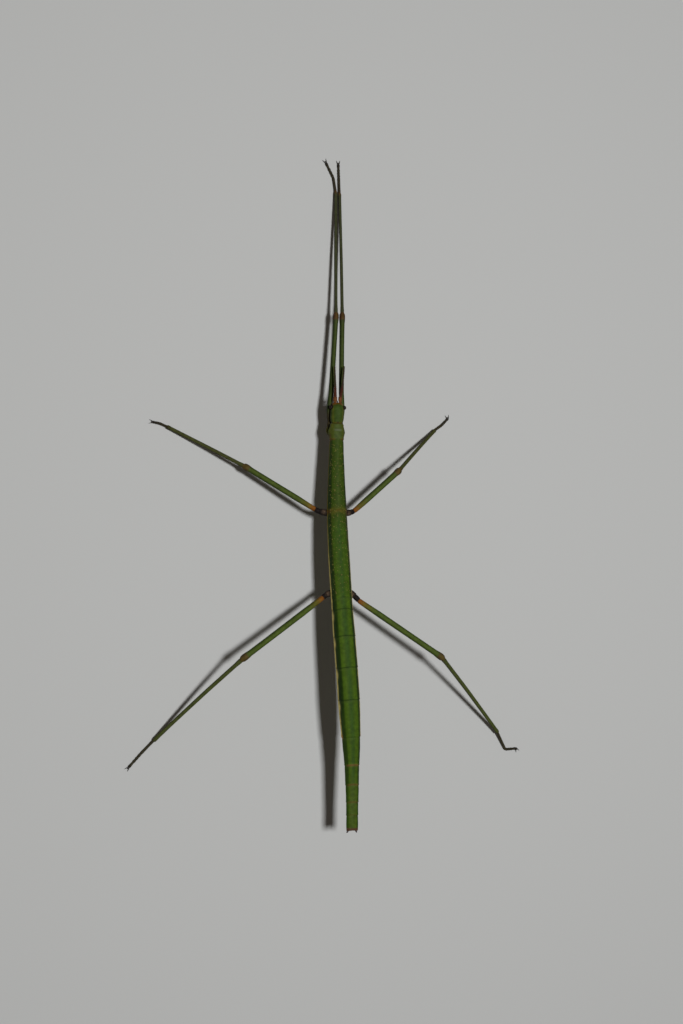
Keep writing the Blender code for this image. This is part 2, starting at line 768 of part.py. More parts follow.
make_head()
make_mouth()
make_antennae()
make_prothorax()
for piece_name in BODY_LENGTHS:
    if piece_name not in ("head", "prothorax", "abdomen_10"):
        make_body_piece(piece_name)
make_tail_end()
make_operculum()
make_cerci()
for leg_name in LEGS:
    make_leg(leg_name)
centre_on_floor()
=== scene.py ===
# %% [markdown]
# # Giant stick insect
# The model is a grown female stick insect at life size, standing still on a pale floor.
# The solids of the frame give its sizes and its pose. This script lays a fine skin over them:
# one skin for the whole body, one for each leg, and separate eyes, feelers, jaws and claws.

# %% Load the frame
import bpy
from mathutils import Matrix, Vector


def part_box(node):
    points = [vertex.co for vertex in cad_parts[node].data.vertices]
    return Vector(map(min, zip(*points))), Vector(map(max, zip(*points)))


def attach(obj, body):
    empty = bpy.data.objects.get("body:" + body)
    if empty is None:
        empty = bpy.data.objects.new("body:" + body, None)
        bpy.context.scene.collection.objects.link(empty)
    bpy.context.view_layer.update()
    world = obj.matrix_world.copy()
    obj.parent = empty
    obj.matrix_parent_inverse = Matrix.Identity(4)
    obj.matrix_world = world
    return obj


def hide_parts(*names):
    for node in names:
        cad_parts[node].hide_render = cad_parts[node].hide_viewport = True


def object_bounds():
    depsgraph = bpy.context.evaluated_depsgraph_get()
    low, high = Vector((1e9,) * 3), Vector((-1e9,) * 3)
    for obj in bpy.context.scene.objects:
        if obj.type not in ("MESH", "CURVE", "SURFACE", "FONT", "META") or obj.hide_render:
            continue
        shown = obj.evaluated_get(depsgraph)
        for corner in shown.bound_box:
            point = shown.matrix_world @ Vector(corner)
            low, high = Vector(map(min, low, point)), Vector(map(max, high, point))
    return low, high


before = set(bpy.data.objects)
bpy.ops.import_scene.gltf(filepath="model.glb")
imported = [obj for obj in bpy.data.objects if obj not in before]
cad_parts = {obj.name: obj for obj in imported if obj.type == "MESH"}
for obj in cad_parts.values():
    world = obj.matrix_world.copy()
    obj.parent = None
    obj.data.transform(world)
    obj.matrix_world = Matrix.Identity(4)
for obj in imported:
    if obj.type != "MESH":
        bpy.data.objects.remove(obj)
cad_box = [list(corner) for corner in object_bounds()]
import bpy
import numpy as np
print("solids:", len(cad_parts), "box in metres:", cad_box)

# %% [markdown]
# ## Ground rules
# Insects are small, so lengths below are in millimetres and only the finished mesh is in metres.
# +Y points ahead, +X to the insect's right and +Z up, as in the frame.
# Every surface here is a grid: rings of points that follow each other along a line.
# A ring is closed round the body, and each end of the tube closes in one point, the pole.

# %% Small helpers
MM = 0.001
UP = np.array((0.0, 0.0, 1.0))
AHEAD = np.array((0.0, 1.0, 0.0))
RIGHT = np.array((1.0, 0.0, 0.0))


def unit(vectors):
    """Each vector divided by its own length."""
    return vectors / np.linalg.norm(vectors, axis=-1, keepdims=True)


def bell(distance, width):
    """A bell curve: one at distance zero, and about a third at one width away."""
    return np.exp(-((distance / width) ** 2))


def step(low, high, where):
    """A soft step from zero at low to one at high."""
    share = np.clip((where - low) / (high - low), 0.0, 1.0)
    return share * share * (3.0 - 2.0 * share)


def window(low, high, soft, where):
    """One between low and high, fading to zero over the soft distance on both sides."""
    return step(low - soft, low, where) * (1.0 - step(high, high + soft, where))


def blur(values, width):
    """Rows averaged with their neighbours by a bell curve that is some rows wide.

    The rows past both ends are carried on in a straight line, so the ends stay where they are.
    """
    reach = int(np.ceil(2.5 * width))
    before = 2.0 * values[:1] - values[reach:0:-1]
    after = 2.0 * values[-1:] - values[-2:-reach - 2:-1]
    padded = np.concatenate((before, values, after))
    weights = bell(np.arange(-reach, reach + 1), 1.4 * width)
    weights = weights / weights.sum()
    return np.stack([np.convolve(column, weights, "valid") for column in padded.T], axis=1)


def follow(where, places, table):
    """Each column of a table, given at some places, read off at other places."""
    return np.stack([np.interp(where, places, column) for column in table.T], axis=1)


def squared(wave, power):
    """A sine or cosine with its size raised to a power: a power below one makes a squarer ring."""
    return np.sign(wave) * np.abs(wave) ** power


print("bell(0), bell(1 width):", bell(0.0, 1.0), round(bell(1.0, 1.0), 3))

# %% [markdown]
# ## Reading the solids
# The fine skin has to follow the solids, so their places are measured and not typed in.
# Cutting a solid with a plane gives its reach to both sides, above and below, at that place.
# The flat end of a solid is found from its triangles: they all face along the limb.


# %% Measure the solids
def triangles_of(*names):
    """The corners of all triangles of the named nodes, in mm: one row of three points each."""
    parts = []
    for name in names:
        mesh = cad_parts[name].data
        mesh.calc_loop_triangles()
        corners = np.empty(len(mesh.loop_triangles) * 3, dtype=np.int32)
        mesh.loop_triangles.foreach_get("vertices", corners)
        points = np.empty(len(mesh.vertices) * 3, dtype=np.float32)
        mesh.vertices.foreach_get("co", points)
        parts.append(points.reshape(-1, 3)[corners].reshape(-1, 3, 3) / MM)
    return np.concatenate(parts).astype(float)


def middle_of(triangles):
    """The middle of the box round the triangles."""
    points = triangles.reshape(-1, 3)
    return 0.5 * (points.min(axis=0) + points.max(axis=0))


def end_middle(triangles, way):
    """The middle of the flat end that faces the given way, each triangle counted by its area."""
    cross = np.cross(triangles[:, 1] - triangles[:, 0], triangles[:, 2] - triangles[:, 0])
    area = np.linalg.norm(cross, axis=1)
    facing = cross @ way > 0.75 * area
    return np.average(triangles[facing].mean(axis=1), axis=0, weights=area[facing])


def cuts(triangles, origin, ways, distances):
    """How far the solid reaches where planes across the first way cut it.

    Each row is lowest and highest along the second way, then along the third, from the origin.
    """
    along, second, third = ways
    rows = []
    for distance in distances:
        side = (triangles - origin) @ along - distance
        next_side = np.roll(side, -1, axis=1)
        crossed = (side < 0.0) != (next_side < 0.0)
        share = side[crossed] / (side[crossed] - next_side[crossed])
        start = triangles[crossed]
        points = start + share[:, None] * (np.roll(triangles, -1, axis=1)[crossed] - start) - origin
        across, rise = points @ second, points @ third
        rows.append((across.min(), across.max(), rise.min(), rise.max()))
    return np.array(rows)


BODY_NODES = ["head", "prothorax", "mesothorax", "metathorax", "median_segment"]
BODY_NODES += ["abdomen_%d" % number for number in range(2, 11)]
front_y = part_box("head")[1].y / MM
tail_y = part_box("abdomen_10")[0].y / MM
borders = {}
for before, after in zip(BODY_NODES, BODY_NODES[1:]):
    hind_end = end_middle(triangles_of(before), -AHEAD)
    front_end = end_middle(triangles_of(after), AHEAD)
    borders[after] = front_y - 0.5 * (hind_end[1] + front_end[1])
print("body length in mm:", round(front_y - tail_y, 1))
print("borders behind the front:", {name: round(value, 1) for name, value in borders.items()})

# %% [markdown]
# ## From a grid of points to a mesh
# A grid of rings turns into quads between neighbouring rings and a fan of triangles at each pole.
# Colours go with the points: each piece carries a colour attribute named tint, which its material reads.
# This is the usual way to paint markings by rule, because the rule can use the same two
# parameters as the shape: how far along, and how far round.


# %% Make a piece
def tube_faces(rings, around, start=0):
    """Faces of a tube: quads between the rings, and a fan to the first and the last point."""
    ring = np.arange(rings - 1)[:, None] * around
    k = np.arange(around)[None, :]
    after = (k + 1) % around
    corners = np.stack((ring + k, ring + after, ring + around + after, ring + around + k), axis=-1)
    quads = corners.reshape(-1, 4) + 1 + start
    k, after = k[0], after[0]
    first = np.stack((np.zeros_like(k), after + 1, k + 1), axis=-1) + start
    last_ring = (rings - 1) * around + 1
    pole = np.full_like(k, rings * around + 1)
    last = np.stack((pole, last_ring + k, last_ring + after), axis=-1) + start
    return quads, np.concatenate((first, last))


def tube_points(first, rings, last):
    """The points of a tube in the order that tube_faces counts them."""
    return np.concatenate((first[None], rings.reshape(-1, 3), last[None]))


def inside_volume(points, triangles):
    """The volume inside the triangles, below zero where they face inwards."""
    a, b, c = (points[triangles[:, k]] for k in range(3))
    return np.einsum("ij,ij->i", a, np.cross(b, c)).sum() / 6.0


def make_piece(name, parts, finish, replaced=()):
    """A smooth mesh object from parts, each one (points, quads, triangles, tint)."""
    all_points, all_faces, all_tints, count = [], [], [], 0
    for points, quads, triangles, tint in parts:
        both = np.concatenate((triangles, quads[:, :3], quads[:, [0, 2, 3]]))
        if inside_volume(points, both) < 0.0:
            quads, triangles = quads[:, ::-1], triangles[:, ::-1]
        all_points.append(points)
        all_faces += (quads + count).tolist() + (triangles + count).tolist()
        all_tints.append(np.broadcast_to(tint, (len(points), 3)))
        count += len(points)
    mesh = bpy.data.meshes.new(name)
    mesh.from_pydata((np.concatenate(all_points) * MM).tolist(), [], all_faces)
    mesh.shade_smooth()
    layer = mesh.color_attributes.new("tint", "FLOAT_COLOR", "POINT")
    colours = np.ones((count, 4), dtype=np.float32)
    colours[:, :3] = np.concatenate(all_tints)
    layer.data.foreach_set("color", colours.ravel())
    mesh.materials.append(finish)
    piece = bpy.data.objects.new(name, mesh)
    bpy.context.scene.collection.objects.link(piece)
    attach(piece, "root")
    if replaced:
        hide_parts(*replaced)
    print(name, len(all_faces), "faces")


def painted(ground, shape, layers):
    """Tints over a grid: the ground colour, with each layer (colour, amount) painted over the last."""
    tint = np.broadcast_to(np.array(ground), shape + (3,))
    for colour, amount in layers:
        amount = np.broadcast_to(np.clip(amount, 0.0, 1.0), shape)[..., None]
        tint = tint + (np.array(colour) - tint) * amount
    return tint


# %% [markdown]
# ## Finishes
# Insect skin is horn: a thin hard shell with a soft gloss, and a grain that shows from close by.
# One function makes the family of finishes. Two noise textures vary the tint a little, a third
# one varies the roughness, and fine bumps break up the highlight. Smooth horn, such as
# the eye, gets a finer grain. A single flat colour would look like painted plastic.


# %% Horn finishes
WIDE_MOTTLE, FINE_MOTTLE, WEAR = 1.3, 0.28, 0.8


def horn(name, roughness, grain, depth, shine, coat=0.0, mottle=0.22):
    """Principled horn: tint times mottling, with roughness and bump from noise of the grain's size."""
    material = bpy.data.materials.new(name)
    material.use_nodes = True
    nodes, links = material.node_tree.nodes, material.node_tree.links
    shader = nodes["Principled BSDF"]

    def add(kind, values, slot, source):
        """A new node with its values set and one input linked to a source."""
        node = nodes.new("ShaderNode" + kind)
        for key, value in values.items():
            node.inputs[key].default_value = value
        links.new(source, node.inputs[slot])
        return node

    place = nodes.new("ShaderNodeTexCoord").outputs["Object"]
    tint = nodes.new("ShaderNodeAttribute")
    tint.attribute_name = "tint"
    value = tint.outputs["Color"]
    for size, strength in ((WIDE_MOTTLE, mottle), (FINE_MOTTLE, 0.6 * mottle)):
        noise = add("TexNoise", {"Scale": 1.0 / (size * MM), "Detail": 4.0}, "Vector", place)
        limits = {"From Min": 0.3, "From Max": 0.7, "To Min": 1.0 - strength, "To Max": 1.0 + strength}
        span = add("MapRange", limits, "Value", noise.outputs["Fac"])
        scaled = add("VectorMath", {}, "Vector", value)
        scaled.operation = "SCALE"
        links.new(span.outputs["Result"], scaled.inputs["Scale"])
        value = scaled.outputs["Vector"]
    links.new(value, shader.inputs["Base Color"])
    wear = add("TexNoise", {"Scale": 1.0 / (WEAR * MM)}, "Vector", place)
    limits = {"To Min": roughness - 0.1, "To Max": roughness + 0.1}
    gloss = add("MapRange", limits, "Value", wear.outputs["Fac"])
    links.new(gloss.outputs["Result"], shader.inputs["Roughness"])
    cells = add("TexVoronoi", {"Scale": 1.0 / (grain * MM)}, "Vector", place)
    bump = add("Bump", {"Strength": 0.6, "Distance": depth * MM}, "Height", cells.outputs["Distance"])
    links.new(bump.outputs["Normal"], shader.inputs["Normal"])
    shader.inputs["Specular IOR Level"].default_value = shine
    shader.inputs["Coat Weight"].default_value = coat
    shader.inputs["Coat Roughness"].default_value = 0.3
    return material


skin_horn = horn("skin_horn", 0.64, 0.16, 0.02, 0.12)
leg_horn = horn("leg_horn", 0.64, 0.14, 0.02, 0.12)
feeler_horn = horn("feeler_horn", 0.6, 0.09, 0.015, 0.15)
eye_horn = horn("eye_horn", 0.5, 0.05, 0.012, 0.14, 0.02, 0.1)
claw_horn = horn("claw_horn", 0.35, 0.12, 0.008, 0.4)
print("finishes:", [skin_horn.name, leg_horn.name, feeler_horn.name, eye_horn.name, claw_horn.name])

# %% [markdown]
# ## The line of the body
# The body is a long tube that bends a little to the right and climbs towards the tail.
# Each body solid is cut at places clear of its ends, and a smooth line joins the results.
# The two cuts through the head lie behind the eyes, and their line is carried on to its front.

# %% Body line and outline
BODY_WAYS = (-AHEAD, RIGHT, UP)
HEAD_CUTS = (3.6, 5.4)
front_corner = np.array((0.0, front_y, 0.0))
places, reaches = [HEAD_CUTS], [cuts(triangles_of("head"), front_corner, BODY_WAYS, HEAD_CUTS)]
for name in BODY_NODES[1:]:
    low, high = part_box(name)[0].y / MM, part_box(name)[1].y / MM
    steps = np.linspace(front_y - high + 1.2, front_y - low - 0.8, max(3, int((high - low) / 1.5)))
    places.append(steps)
    reaches.append(cuts(triangles_of(name), front_corner, BODY_WAYS, steps))
places, reaches = np.concatenate(places), np.concatenate(reaches)
places = np.insert(places, 0, 0.0)
reaches = np.insert(reaches, 0, 3.0 * reaches[0] - 2.0 * reaches[1], axis=0)
body_end = front_y - tail_y
behind = np.arange(0.0, body_end + 0.05, 0.1)
low_x, high_x, low_z, high_z = (np.interp(behind, places, column) for column in reaches.T)
line = np.stack((0.5 * (low_x + high_x), front_y - behind, 0.5 * (low_z + high_z)), axis=1)
line = blur(line, 12)
half_sizes = blur(0.5 * np.stack((high_x - low_x, high_z - low_z), axis=1), 9)
line_ahead = unit(-np.gradient(line, axis=0))
print("body length:", round(body_end, 1), "widest half width:", round(half_sizes[:, 0].max(), 2))

# %% [markdown]
# ## The shape of the body skin
# A ring is an oval that is slightly squared. The rings follow the body line, closest together at
# the joints, where the shape changes fastest, and their points closest together on the flanks.
# On top of the oval comes a relief, in mm along the outward direction: a fine keel along the back,
# the thin edge that stands out along each flank, the fold below it, the flat belly plates, and
# the step at each joint, where one ring of horn slides under the next.


# %% Grid of the body
def spaced(low, high, spacing):
    """Places from low to high whose distance apart follows the spacing function."""
    fine_places = np.linspace(low, high, 20001)
    density = 1.0 / spacing(fine_places)
    count = np.concatenate(([0.0], np.cumsum(0.5 * (density[1:] + density[:-1]) * np.diff(fine_places))))
    return np.interp(np.linspace(0.0, count[-1], int(count[-1]) + 2), count, fine_places)


def body_spacing(where):
    """Distance between rings: fine on the head and round the joints."""
    joints = np.array(list(borders.values()))
    nearest = np.abs(where[:, None] - joints[None, :]).min(axis=1)
    size = 0.085 + 0.105 * step(0.5, 1.4, nearest)
    return np.where(where < 8.5, np.minimum(size, 0.095), size)


FRONT_CAP, CAP_RINGS = 0.02, 8
NOTCH_DEPTH = 0.1
cap = FRONT_CAP * (np.arange(1, CAP_RINGS + 1) / (CAP_RINGS + 1.0)) ** 4
tube = spaced(FRONT_CAP, body_end, body_spacing)
hollow = np.linspace(0.1, 0.95, 7)
ring_at = np.concatenate((cap, tube, body_end - NOTCH_DEPTH * hollow ** 2))[:, None]
ring_size = np.concatenate((np.ones(len(cap) + len(tube)), 0.94 * (1.0 - hollow ** 2) ** 0.5))[:, None]
quarter = spaced(0.0, 0.5 * np.pi, lambda angle: 0.03 + 0.055 * step(0.2, 0.5, angle))
quarter = 0.5 * (quarter[1:] + quarter[:-1])
turn = np.concatenate((quarter, np.pi - quarter[::-1], np.pi + quarter, 2.0 * np.pi - quarter[::-1]))
turn, AROUND = turn[None, :], len(turn)
print("rings:", len(ring_at), "points round each:", AROUND)

# %% [markdown]
# ## Head
# The head is a long oval that is blunt in front. A superellipse quarter gives the round front:
# the share of the full size is (1 - (1 - x)^p)^(1/p), with x from 0 at the front to 1 at the cheeks.
# A higher power makes a blunter front. The skin rises in a rim round each eye, so the eye sits
# in the head and not on it, and rises in a collar round the root of each feeler.


# %% Sizes and relief of the body
HEAD_WIDTH, HEAD_HEIGHT = 0.5 * (reaches[1, 1] - reaches[1, 0]), 0.5 * (reaches[1, 3] - reaches[1, 2])
HEAD_ROUND = 3.5
EYE_RIM, EYE_SEAT, FEELER_COLLAR = (0.13, 0.86, 0.13), (0.12, 0.62), (0.12, 0.55, 0.16)
# Where head, neck shield, middle chest and the whole chest end, and some rings of the abdomen start.
head_end, shield_end, mid_end, chest_end = list(borders.values())[:4]
ring_2, ring_5, ring_6, ring_7, ring_9 = (borders["abdomen_%d" % number] for number in (2, 5, 6, 7, 9))
groove = head_end + 0.45 * (shield_end - head_end)
eye_places = [middle_of(triangles_of("eye_" + side)) for side in ("left", "right")]
feeler_roots = [end_middle(triangles_of("antenna_" + side), -AHEAD) for side in ("left", "right")]
# Ridges along the body: height, slope and its width in degrees, then start, end and softness in mm.
RIDGES = (
    (0.09, 90.0, 6.0, shield_end + 1.0, chest_end, 1.0),
    (0.03, 90.0, 6.0, chest_end, body_end, chest_end - mid_end),
    (0.06, 2.0, 9.0, ring_6, body_end, 2.0),
    (-0.08, -24.0, 8.0, head_end + 1.5, body_end, 1.5),
    (0.05, -58.0, 7.0, head_end + 1.5, body_end, 1.5),
    (0.03, 47.0, 6.0, head_end + 1.5, body_end, 1.5),
    (-0.05, 90.0, 5.0, 2.6, head_end - 0.7, 0.5),
    (0.20, 0.0, 35.0, ring_6 + 5.0, body_end - 2.0, 5.0),
)
# Swellings and hollows: height, place behind the front and length in mm, slope and its width.
SWELLINGS = (
    (0.50, shield_end - 2.9, 1.3, -8.0, 22.0),
    (0.06, 1.5, 0.7, 68.0, 14.0),
    (-0.06, groove, 1.6, 90.0, 5.0),
    (0.07, groove + 1.9, 0.8, 55.0, 22.0),
)
ARCH, ARCH_LOSS, NECK_ARCH = 0.65, 0.35, 0.2
JOINT_DEPTH = {"prothorax": 0.04, "median_segment": 0.04, "mesothorax": 0.17, "metathorax": 0.17}
RING_DEPTH = 0.13


def body_sizes(where):
    """Half width and half height of the body at each place behind the front."""
    wide = np.interp(where, behind, half_sizes[:, 0])
    high = np.interp(where, behind, half_sizes[:, 1])
    front = np.clip(1.0 - where / HEAD_ROUND, 0.0, 1.0)
    waist = 1.0 - 0.2 * step(4.4, head_end, where)
    head_wide = HEAD_WIDTH * (1.0 - front ** 4) ** 0.25 * waist
    head_high = HEAD_HEIGHT * (1.0 - front ** 3) ** (1.0 / 3.0) * waist
    behind_head = step(head_end - 0.05, head_end + 0.3, where)
    neck = 1.0 - 0.12 * bell(where - head_end, 0.22)
    wide = (head_wide + (wide - head_wide) * behind_head) * neck
    high = (head_high + (high - head_high) * behind_head) * neck
    return wide, high


print("head ends at", round(head_end, 2), "mm, ridges:", len(RIDGES), "swellings:", len(SWELLINGS))

# %% [markdown]
# ## Relief of the body
# The ridges and swellings add up to one height. The edge of the flank, the joints and the rims
# round the eyes and feelers follow rules of their own, so they are added after them.
# Behind each joint the skin drops by a step, and in front of it a low lip leads up to the step.


# %% Relief of the body
def past_joint(name, where, top):
    """How far behind a joint line each point is, in mm. On the back the lines arch forward."""
    if name == "mesothorax":
        arch = NECK_ARCH * top
    else:
        arch = (ARCH - ARCH_LOSS * step(chest_end, ring_5, where)) * top ** 2
    return where - borders[name] + arch


def body_relief(where, tilt, top, points):
    """Height of the relief in mm.

    tilt is the slope of the outward direction in degrees: 90 on the back, 0 on the flanks and
    -90 on the belly. top is one on the back and falls to zero on the flanks.
    """
    relief = np.zeros(tilt.shape)
    for height, slope, width, start, end, soft in RIDGES:
        relief += height * bell(tilt - slope, width) * window(start, end, soft, where)
    for height, place, length, slope, width in SWELLINGS:
        relief += height * bell(where - place, length) * bell(tilt - slope, width)
    edge = 0.09 + 0.10 * step(mid_end - 12.0, mid_end + 4.0, where)
    edge = edge * window(shield_end + 1.0, ring_6 - 1.0, 1.5, where)
    relief += edge * (bell(tilt - 1.0, 5.0) - 0.45 * bell(tilt - 21.0, 8.0))
    cheeks = 0.26 + 0.24 * bell(where - head_end + 1.2, 1.4)
    relief += cheeks * window(2.9, head_end - 0.3, 0.8, where) * bell(tilt + 8.0, 30.0)
    relief += 0.05 * window(head_end + 0.35, head_end + 0.7, 0.2, where)
    relief -= 0.15 * bell(where - groove - 0.3 * top, 0.25) * step(-20.0, 30.0, tilt)
    for name in borders:
        past, depth = past_joint(name, where, top), JOINT_DEPTH.get(name, RING_DEPTH)
        relief += 0.35 * depth * bell(past + 0.3, 0.3) * (past < 0.0)
        relief -= depth * np.exp(-np.maximum(past, 0.0) / 0.45) * step(-0.04, 0.04, past)
    turned = np.radians(tilt)
    uneven = 0.012 * np.sin(1.7 * where + 2.0 * turned) + 0.01 * np.sin(0.61 * where + 5.0 * turned)
    belly_plates = 0.12 * window(-95.0, -64.0, 8.0, tilt)
    relief += (uneven - belly_plates) * step(head_end, head_end + 1.5, where)
    for eye in eye_places:
        away = np.linalg.norm(points - eye, axis=-1)
        relief += EYE_RIM[0] * bell(away - EYE_RIM[1], EYE_RIM[2]) - EYE_SEAT[0] * bell(away, EYE_SEAT[1])
    for root in feeler_roots:
        away = np.linalg.norm(points - root + 0.35 * AHEAD, axis=-1)
        relief += FEELER_COLLAR[0] * bell(away - FEELER_COLLAR[1], FEELER_COLLAR[2])
    return relief


print("the", len(borders), "joint lines reach forward on the back by up to", ARCH, "mm")

# %% [markdown]
# ## Points of the body
# First comes the smooth oval, then the relief along its outward direction. The hind edge of
# the last ring is drawn in a little on the back. At the end the skin is kept below the solids' top.

# %% Points of the body
BODY_SQUARE, TAIL_RIM, CLEARANCE = 0.93, 0.15, 0.01
wide, high = body_sizes(ring_at[:, 0])
wide, high = wide[:, None] * ring_size, high[:, None] * ring_size
centre = follow(ring_at[:, 0], behind, line)
ahead = unit(follow(ring_at[:, 0], behind, line_ahead))
across = unit(np.cross(ahead, UP))
above = np.cross(across, ahead)
drop = 0.5 * np.clip(1.0 - ring_at / 3.0, 0.0, 1.0) ** 2
out_x = squared(np.cos(turn), BODY_SQUARE) * wide
out_z = squared(np.sin(turn), BODY_SQUARE) * high - drop
outward = unit(np.stack((high * np.cos(turn), wide * np.sin(turn)), axis=-1))
tilt = np.degrees(np.arctan2(outward[..., 1], np.abs(outward[..., 0])))
top = np.maximum(np.sin(turn), 0.0) + 0.0 * ring_at
body = centre[:, None] + out_x[..., None] * across[:, None] + out_z[..., None] * above[:, None]
lift = body_relief(ring_at, tilt, top, body) * ring_size ** 2
normals = outward[..., :1] * across[:, None] + outward[..., 1:] * above[:, None]
rim = TAIL_RIM * step(body_end - 0.9, body_end, ring_at) * ring_size * bell(tilt - 90.0, 24.0)
body = body + lift[..., None] * normals + rim[..., None] * ahead[:, None]
body[..., 2] = np.minimum(body[..., 2], cad_box[1][2] / MM - CLEARANCE)
print("body points:", body.shape)

# %% [markdown]
# ## Markings of the body
# A green body is hard to see in leaves, and fine lines along it break it up further.
# A cream line runs along the edge of each flank. It is thin and brown on the chest, wide on the
# hind body, and swells into a spot behind four of the joints. The chest is olive with a paler middle, the
# hind body has two bright green bands with a bluish one between them. The joints are thin dark
# lines, and the last ones are light brown. A dark band above the cream line on each flank is
# painted shade, where the side turns away from the light above. Each marking is painted by rule,
# from the same two parameters as the shape.


# %% Body tints
GREEN = (0.042, 0.086, 0.005)
BRIGHT = (0.064, 0.118, 0.005)
TEAL = (0.030, 0.075, 0.005)
DARK = (0.010, 0.026, 0.003)
OLIVE_CHEST = (0.038, 0.068, 0.004)
CREAM = (0.520, 0.430, 0.140)
OCHRE = (0.120, 0.085, 0.010)
RUST = (0.120, 0.046, 0.010)
BROWN = (0.030, 0.018, 0.009)
PALE = (0.060, 0.092, 0.016)
HEAD_GREEN = (0.042, 0.074, 0.009)
CHEEK = (0.100, 0.108, 0.012)
BELLY = (0.070, 0.095, 0.022)
TAIL_GREEN = (0.066, 0.096, 0.010)
SHIELD_SIDE = (0.084, 0.098, 0.012)
SHIELD_TOP = (0.062, 0.092, 0.020)
GROOVE_PALE = (0.150, 0.165, 0.110)
LAST_SPOT = (0.380, 0.190, 0.045)
MUZZLE = (0.200, 0.065, 0.010)
TAIL_END = (0.095, 0.040, 0.022)
JOINT_BROWN = (0.170, 0.090, 0.025)
TAIL_JOINTS = {"abdomen_7": 0.9, "abdomen_8": 0.6, "abdomen_9": 0.45, "abdomen_10": 0.15}
JOINT_LINES = {"prothorax": 0.2, "mesothorax": 0.2, "median_segment": 0.2, "abdomen_6": 0.2}
SPOTTED = ("abdomen_2", "abdomen_3", "abdomen_4", "abdomen_5")
print("joints with a light brown line:", list(TAIL_JOINTS), "joints with spots:", SPOTTED)

# %% [markdown]
# ## Painting the body
# A layer is a colour and an amount, which is zero where the layer is absent and one where it
# covers all below it. Broad stripes come first, joints next, and the small marks last.


# %% Paint and make the body
def joint_layers(name, where, tilt, top):
    """The layers at one joint: a pale band, a brown and a dark line, and spots on the flanks."""
    past = past_joint(name, where, top)
    depth = 0.15 if name in TAIL_JOINTS else JOINT_LINES.get(name, 0.6)
    layers = [
        (PALE, 0.3 * bell(past - 0.6, 0.4) * step(15.0, 50.0, tilt)),
        (JOINT_BROWN, TAIL_JOINTS.get(name, 0.0) * bell(past, 0.35) * step(10.0, 60.0, tilt)),
        (DARK, depth * bell(past - 0.08, 0.2) * step(5.0, 30.0, tilt)),
    ]
    if name in SPOTTED:
        layers.append((CREAM, 1.3 * bell(past - 2.0, 1.2) * bell(tilt - 9.0, 11.0)))
        layers.append((BROWN, 0.5 * bell(past + 0.1, 0.4) * bell(tilt - 7.0, 9.0)))
    return layers


